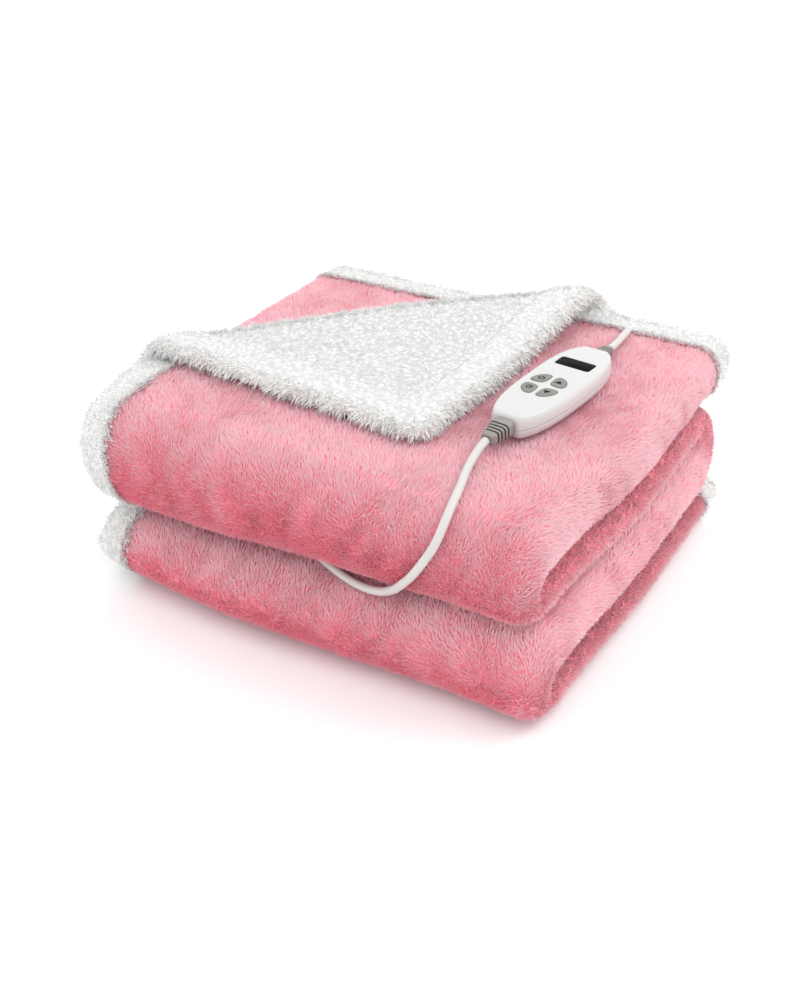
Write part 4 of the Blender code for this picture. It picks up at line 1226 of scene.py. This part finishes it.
class BuildPlush(bpy.types.Operator):
    """Make the pink plush face and its pile."""

    bl_idname = "throw.plush"
    bl_label = "Plush face"

    def execute(self, context):
        cloth = context.scene.throw_cloth
        edge = HEM + SEAM_GAP
        us, vs = grid_lines(ACROSS, 0, edge, (edge,)), grid_lines(ALONG, 0, edge, (edge,))
        mesh = sheet_mesh("plush_sheet", us, vs, lambda u, v: 0 * u + SEAM_GAP / 2, ground_height)
        sheet = add_piece("plush_sheet", mesh, plush_base_finish(cloth))
        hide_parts("plush_face")
        pile = plush_pile_finish(cloth)
        spacing = 0.00135
        top, turn = ALONG[0].length, ALONG[0].length + ALONG[1].length
        last = LONG - ALONG[6].length
        turn_2 = last - ALONG[5].length
        spans = (  # start, end, and how much wider apart the tufts stand
            (0, top / 2, 1.05),
            (top / 2, top, 1.0),
            (top, turn, 1.0),
            (turn, turn_2, 1.3),
            (turn_2, LONG, 1.1),
        )
        for i, (start, end, wider) in enumerate(spans):
            name = f"plush_pile_{i + 1}"
            plush_pile(name, pile, cloth, (start, end), spacing * wider, 100 + 10 * i)
        return {"FINISHED"}


class BuildSherpa(bpy.types.Operator):
    """Make the white sherpa backing with its hem and curls."""

    bl_idname = "throw.sherpa"
    bl_label = "Sherpa backing"

    def execute(self, context):
        cloth = context.scene.throw_cloth
        us, vs = grid_lines(ACROSS, 1, 0.0, HEM_LINES), grid_lines(ALONG, 1, 0.0, HEM_LINES)
        mesh = sheet_mesh("sherpa_sheet", us, vs, sherpa_under, sherpa_over)
        sheet = add_piece("sherpa_sheet", mesh, sherpa_base_finish(cloth))
        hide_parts("sherpa_backing")
        curls = sherpa_pile_finish(cloth)
        spacing = 0.0016
        piles = [
            sherpa_pile("sherpa_curls", curls, cloth, -1, spacing, 400),
            sherpa_pile("hem_curls", curls, cloth, 1, spacing, 500),
        ]
        return {"FINISHED"}


class BuildController(bpy.types.Operator):
    """Make the controller's shells and its display window."""

    bl_idname = "throw.controller"
    bl_label = "Controller"

    def execute(self, context):
        look = context.scene.throw_controller
        shell = moulded_finish("Glossy shell", look.shell, 0.30, 0.00003, coat=0.25)
        outline = box_outline()
        base_rows = (
            (0.0, 0.0030), (0.0006, 0.0018), (0.0020, 0.0009),
            (0.0045, 0.0003), (0.0070, 0.0), (0.0078, 0.0002),
        )
        base = moulding("controller_bottom", outline, base_rows, shell, box_place())
        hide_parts("controller_base")
        cutters = [self.recess()]
        cutters += [self.pocket(angle) for angle in KEYS.values()]
        cover_rows = (
            (0.0082, 0.0003), (0.0085, 0.0), (0.0120, 0.0002), (0.0150, 0.0005), (0.0170, 0.0010),
            (0.0182, 0.0016), (0.0190, 0.0024), (0.0194, 0.0034), (FACE_Z, 0.0048),
        )
        cover = moulding("controller_top", outline, cover_rows, shell, box_place(), holes=cutters, angle=32)
        for cutter in cutters:
            bpy.data.objects.remove(cutter)
        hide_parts("controller_cover")
        glass = moulded_finish("Display window", look.window, 0.35, 0.00001, shine=0.02)
        width, height, thick = WINDOW
        rows = ((FACE_Z - thick, 0.0), (FACE_Z - 0.0004, 0.0), (FACE_Z - 0.0002, 0.0003))
        plan = rounded_rectangle(width, height, WINDOW_CORNER)
        pane = moulding("display_pane", plan, rows, glass, box_place(0, WINDOW_Y))
        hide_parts("display_window")
        return {"FINISHED"}

    def cutter(self, outline, low, place):
        """A body that cuts this outline into the face, from the height low upwards."""
        bm = bmesh.new()
        bm.faces.new([bm.verts.new((x, y, low)) for x, y in outline])
        grown = bmesh.ops.extrude_face_region(bm, geom=bm.faces[:])
        verts = [item for item in grown["geom"] if isinstance(item, bmesh.types.BMVert)]
        bmesh.ops.translate(bm, verts=verts, vec=(0, 0, FACE_Z + 0.004 - low))
        bmesh.ops.recalc_face_normals(bm, faces=bm.faces[:])
        obj = linked("cutter", finished(bm, "cutter"))
        obj.matrix_world = place
        return obj

    def recess(self):
        width, height, thick = WINDOW
        outline = rounded_rectangle(width + 2 * TOUCH, height + 2 * TOUCH, WINDOW_CORNER + TOUCH)
        return self.cutter(outline, FACE_Z - thick - TOUCH, box_place(0, WINDOW_Y))

    def pocket(self, angle):
        low = FACE_Z + KEY_PROUD - KEY_THICK - KEY_FREE
        return self.cutter(petal(angle, KEY_GAP), low, box_place(*KEY_CENTRE))


class BuildKeys(bpy.types.Operator):
    """Make the four keys and the mark on each."""

    bl_idname = "throw.keys"
    bl_label = "Keys"

    MARK_LEVELS = (-0.00002, 0.00006)  # underside and top of a printed mark, from the key's face

    def execute(self, context):
        look = context.scene.throw_controller
        rubber = moulded_finish("Key rubber", look.key, 0.5, 0.00006)
        ink = moulded_finish("Printed mark", look.mark, 0.5, 0.00002, shine=0.1)
        top = FACE_Z + KEY_PROUD
        rows = (
            (top - KEY_THICK, 0.0), (top - 0.0007, 0.0), (top - 0.0003, 0.0001),
            (top - 0.00008, 0.0004), (top, 0.0010),
        )
        for name, angle in KEYS.items():
            body = "press_" + name
            place = box_place(*KEY_CENTRE)
            key = moulding("key_cap_" + name, petal(angle), rows, rubber, place, body, draw_in=inset)
            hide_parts("key_" + name)
            x, y = key_middle(angle)
            place = box_place(KEY_CENTRE[0] + x, KEY_CENTRE[1] + y, top)
            mark = getattr(self, "mark_" + name)(place, ink, body)
        return {"FINISHED"}

    def plate(self, name, outlines, place, material, body):
        """A thin printed mark made of one or more closed outlines."""
        bm = bmesh.new()
        for outline in outlines:
            skin(bm, [[bm.verts.new((x, y, z)) for x, y in outline] for z in self.MARK_LEVELS])
        obj = linked(name, finished(bm, name), material)
        obj.matrix_world = place
        apply(obj)
        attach(obj, body)
        return obj

    def arc(self, radius, width, start, end, steps=20):
        """Outline of a bent bar, in degrees."""
        angles = [radians(start + (end - start) * i / steps) for i in range(steps + 1)]
        outer = [(cos(a) * (radius + width / 2), sin(a) * (radius + width / 2)) for a in angles]
        inner = [(cos(a) * (radius - width / 2), sin(a) * (radius - width / 2)) for a in reversed(angles)]
        return outer + inner

    def mark_power(self, place, material, body):
        bar = [(-0.0006, 0.0004), (0.0006, 0.0004), (0.0006, 0.0036), (-0.0006, 0.0036)]
        return self.plate("mark_power", [self.arc(0.0025, 0.0012, 130, 410), bar], place, material, body)

    def triangle(self, way):
        """Outline of a triangle that points to the rear (way 1) or to the front (way -1)."""
        return [(-0.0034 * way, -0.0020 * way), (0.0034 * way, -0.0020 * way), (0.0, 0.0032 * way)]

    def mark_up(self, place, material, body):
        return self.plate("mark_up", [self.triangle(1)], place, material, body)

    def mark_down(self, place, material, body):
        return self.plate("mark_down", [self.triangle(-1)], place, material, body)

    def mark_timer(self, place, material, body):
        """A clock: a ring in two halves, and its two hands in one."""
        half, short, long = 0.0005, 0.0015, 0.0017
        hands = [(-half, -half), (short, -half), (short, half), (half, half), (half, long), (-half, long)]
        ring = [self.arc(0.0026, 0.0010, start, start + 172) for start in (0, 180)]
        return self.plate("mark_timer", [*ring, hands], place, material, body)


class BuildReliefs(bpy.types.Operator):
    """Make the two ribbed strain reliefs."""

    bl_idname = "throw.reliefs"
    bl_label = "Strain reliefs"

    # One rib's profile: (share of the pitch, depth). Its first three strips are the groove.
    RIB = ((0.05, 0.0004), (0.14, 0.0026), (0.40, 0.0026), (0.48, 0.0004), (0.60, 0.0), (0.95, 0.0))
    GROOVE_STRIPS = 3
    COLLAR_ROWS, NECK_ROWS = 3, 2  # rows before the first rib, and after the last

    def execute(self, context):
        look = context.scene.throw_controller
        rubber = moulded_finish("Relief rubber", look.relief, 0.55, 0.0001)
        # Painted shade: the grooves get a darker copy of the rubber's colour.
        groove = moulded_finish("Relief groove shade", scaled(look.relief, 0.25), 0.7, 0.0001, shine=0.2)
        for name, end, turn, dip, relief in (
            ("front", BOX_FRONT - TOUCH, BOX_TURN, FRONT_DIP, FRONT_RELIEF),
            ("rear", BOX_REAR + TOUCH, BOX_TURN + pi, REAR_DIP, REAR_RELIEF),
        ):
            place = Matrix.Translation(box_place(0, end, RELIEF_Z).translation)
            place = place @ Matrix.Rotation(turn, 4, "Z") @ Matrix.Rotation(pi / 2 - dip, 4, "X")
            bend = relief.bend if name == "front" else -relief.bend
            sleeve = self.sleeve("ribbed_" + name, relief, bend, rubber, groove, place)
            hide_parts("relief_" + name)
        return {"FINISHED"}

    def rows(self, relief):
        """(reach, width, height) along a relief: a plain collar, ribs with narrow grooves, then a neck."""
        rows = [(0.0, relief.wide[0] * 0.94, relief.wide[1] * 0.94)]
        rows += [(0.0006, *relief.wide), (relief.collar, *relief.wide)]
        pitch = (relief.length - relief.collar) / (relief.ribs + 1)
        for i in range(relief.ribs):
            for reach, depth in self.RIB:
                at = relief.collar + pitch * (i + reach)
                share = (at - relief.collar) / (relief.length - relief.collar)
                rows.append((at, *(between(pair, share) - depth for pair in zip(relief.wide, relief.narrow))))
        tip = tuple(size * 0.93 for size in relief.narrow)
        return rows + [(relief.length - 0.0005, *relief.narrow), (relief.length, *tip)]

    def in_groove(self, row, count):
        """Whether the strip from this row to the next lies in a groove."""
        strip = (row - self.COLLAR_ROWS) % len(self.RIB)
        return strip < self.GROOVE_STRIPS and row < count - self.NECK_ROWS

    def sleeve(self, name, relief, bend, material, groove, place):
        """One relief: a ring of the rounded section at each row, bent towards the cloth."""
        outline = rounded_rectangle(1.0, 1.0, 0.24)
        bm = bmesh.new()
        rings = []
        for reach, width, height in self.rows(relief):
            lean = bend * (reach / relief.length) ** 2
            rings.append([bm.verts.new((x * width - lean, y * height, reach)) for x, y in outline])
        # Strips in a groove take the second material, the painted groove shade.
        for row, strip in enumerate(skin(bm, rings)):
            for face in strip:
                face.material_index = int(self.in_groove(row, len(rings)))
        bmesh.ops.recalc_face_normals(bm, faces=bm.faces[:])
        mesh = finished(bm, name)
        mesh.transform(place)
        mesh.shade_smooth()
        mesh.set_sharp_from_angle(angle=radians(35))
        piece = add_piece(name, mesh, material)
        piece.data.materials.append(groove)
        return piece


class ThrowPanel(bpy.types.Panel):
    """Sizes, colours and build steps of the throw."""

    bl_idname = "THROW_PT_build"
    bl_label = "Heated Throw"
    bl_space_type = "VIEW_3D"
    bl_region_type = "UI"
    bl_category = "Throw"

    def draw(self, context):
        for group in (context.scene.throw_cloth, context.scene.throw_controller, context.scene.throw_stage):
            box = self.layout.box()
            for name in group.bl_rna.properties.keys():
                if name not in ("rna_type", "name"):
                    box.prop(group, name)
        for operator in STEPS:
            self.layout.operator(operator.bl_idname)


GROUPS = {"throw_cloth": ThrowCloth, "throw_controller": ThrowController, "throw_stage": ThrowStage}
STEPS = (BuildStage, BuildLeads, BuildPlush, BuildSherpa, BuildController, BuildKeys, BuildReliefs)


def register():
    for cls in (*GROUPS.values(), *STEPS, ThrowPanel):
        bpy.utils.register_class(cls)
    for name, group in GROUPS.items():
        setattr(bpy.types.Scene, name, bpy.props.PointerProperty(type=group))


def unregister():
    for name in GROUPS:
        delattr(bpy.types.Scene, name)
    for cls in reversed((*GROUPS.values(), *STEPS, ThrowPanel)):
        bpy.utils.unregister_class(cls)


def main():
    register()
    bpy.ops.throw.stage()
    bpy.ops.throw.leads()
    bpy.ops.throw.plush()
    bpy.ops.throw.sherpa()
    bpy.ops.throw.controller()
    bpy.ops.throw.keys()
    bpy.ops.throw.reliefs()


if __name__ == "__main__":
    main()
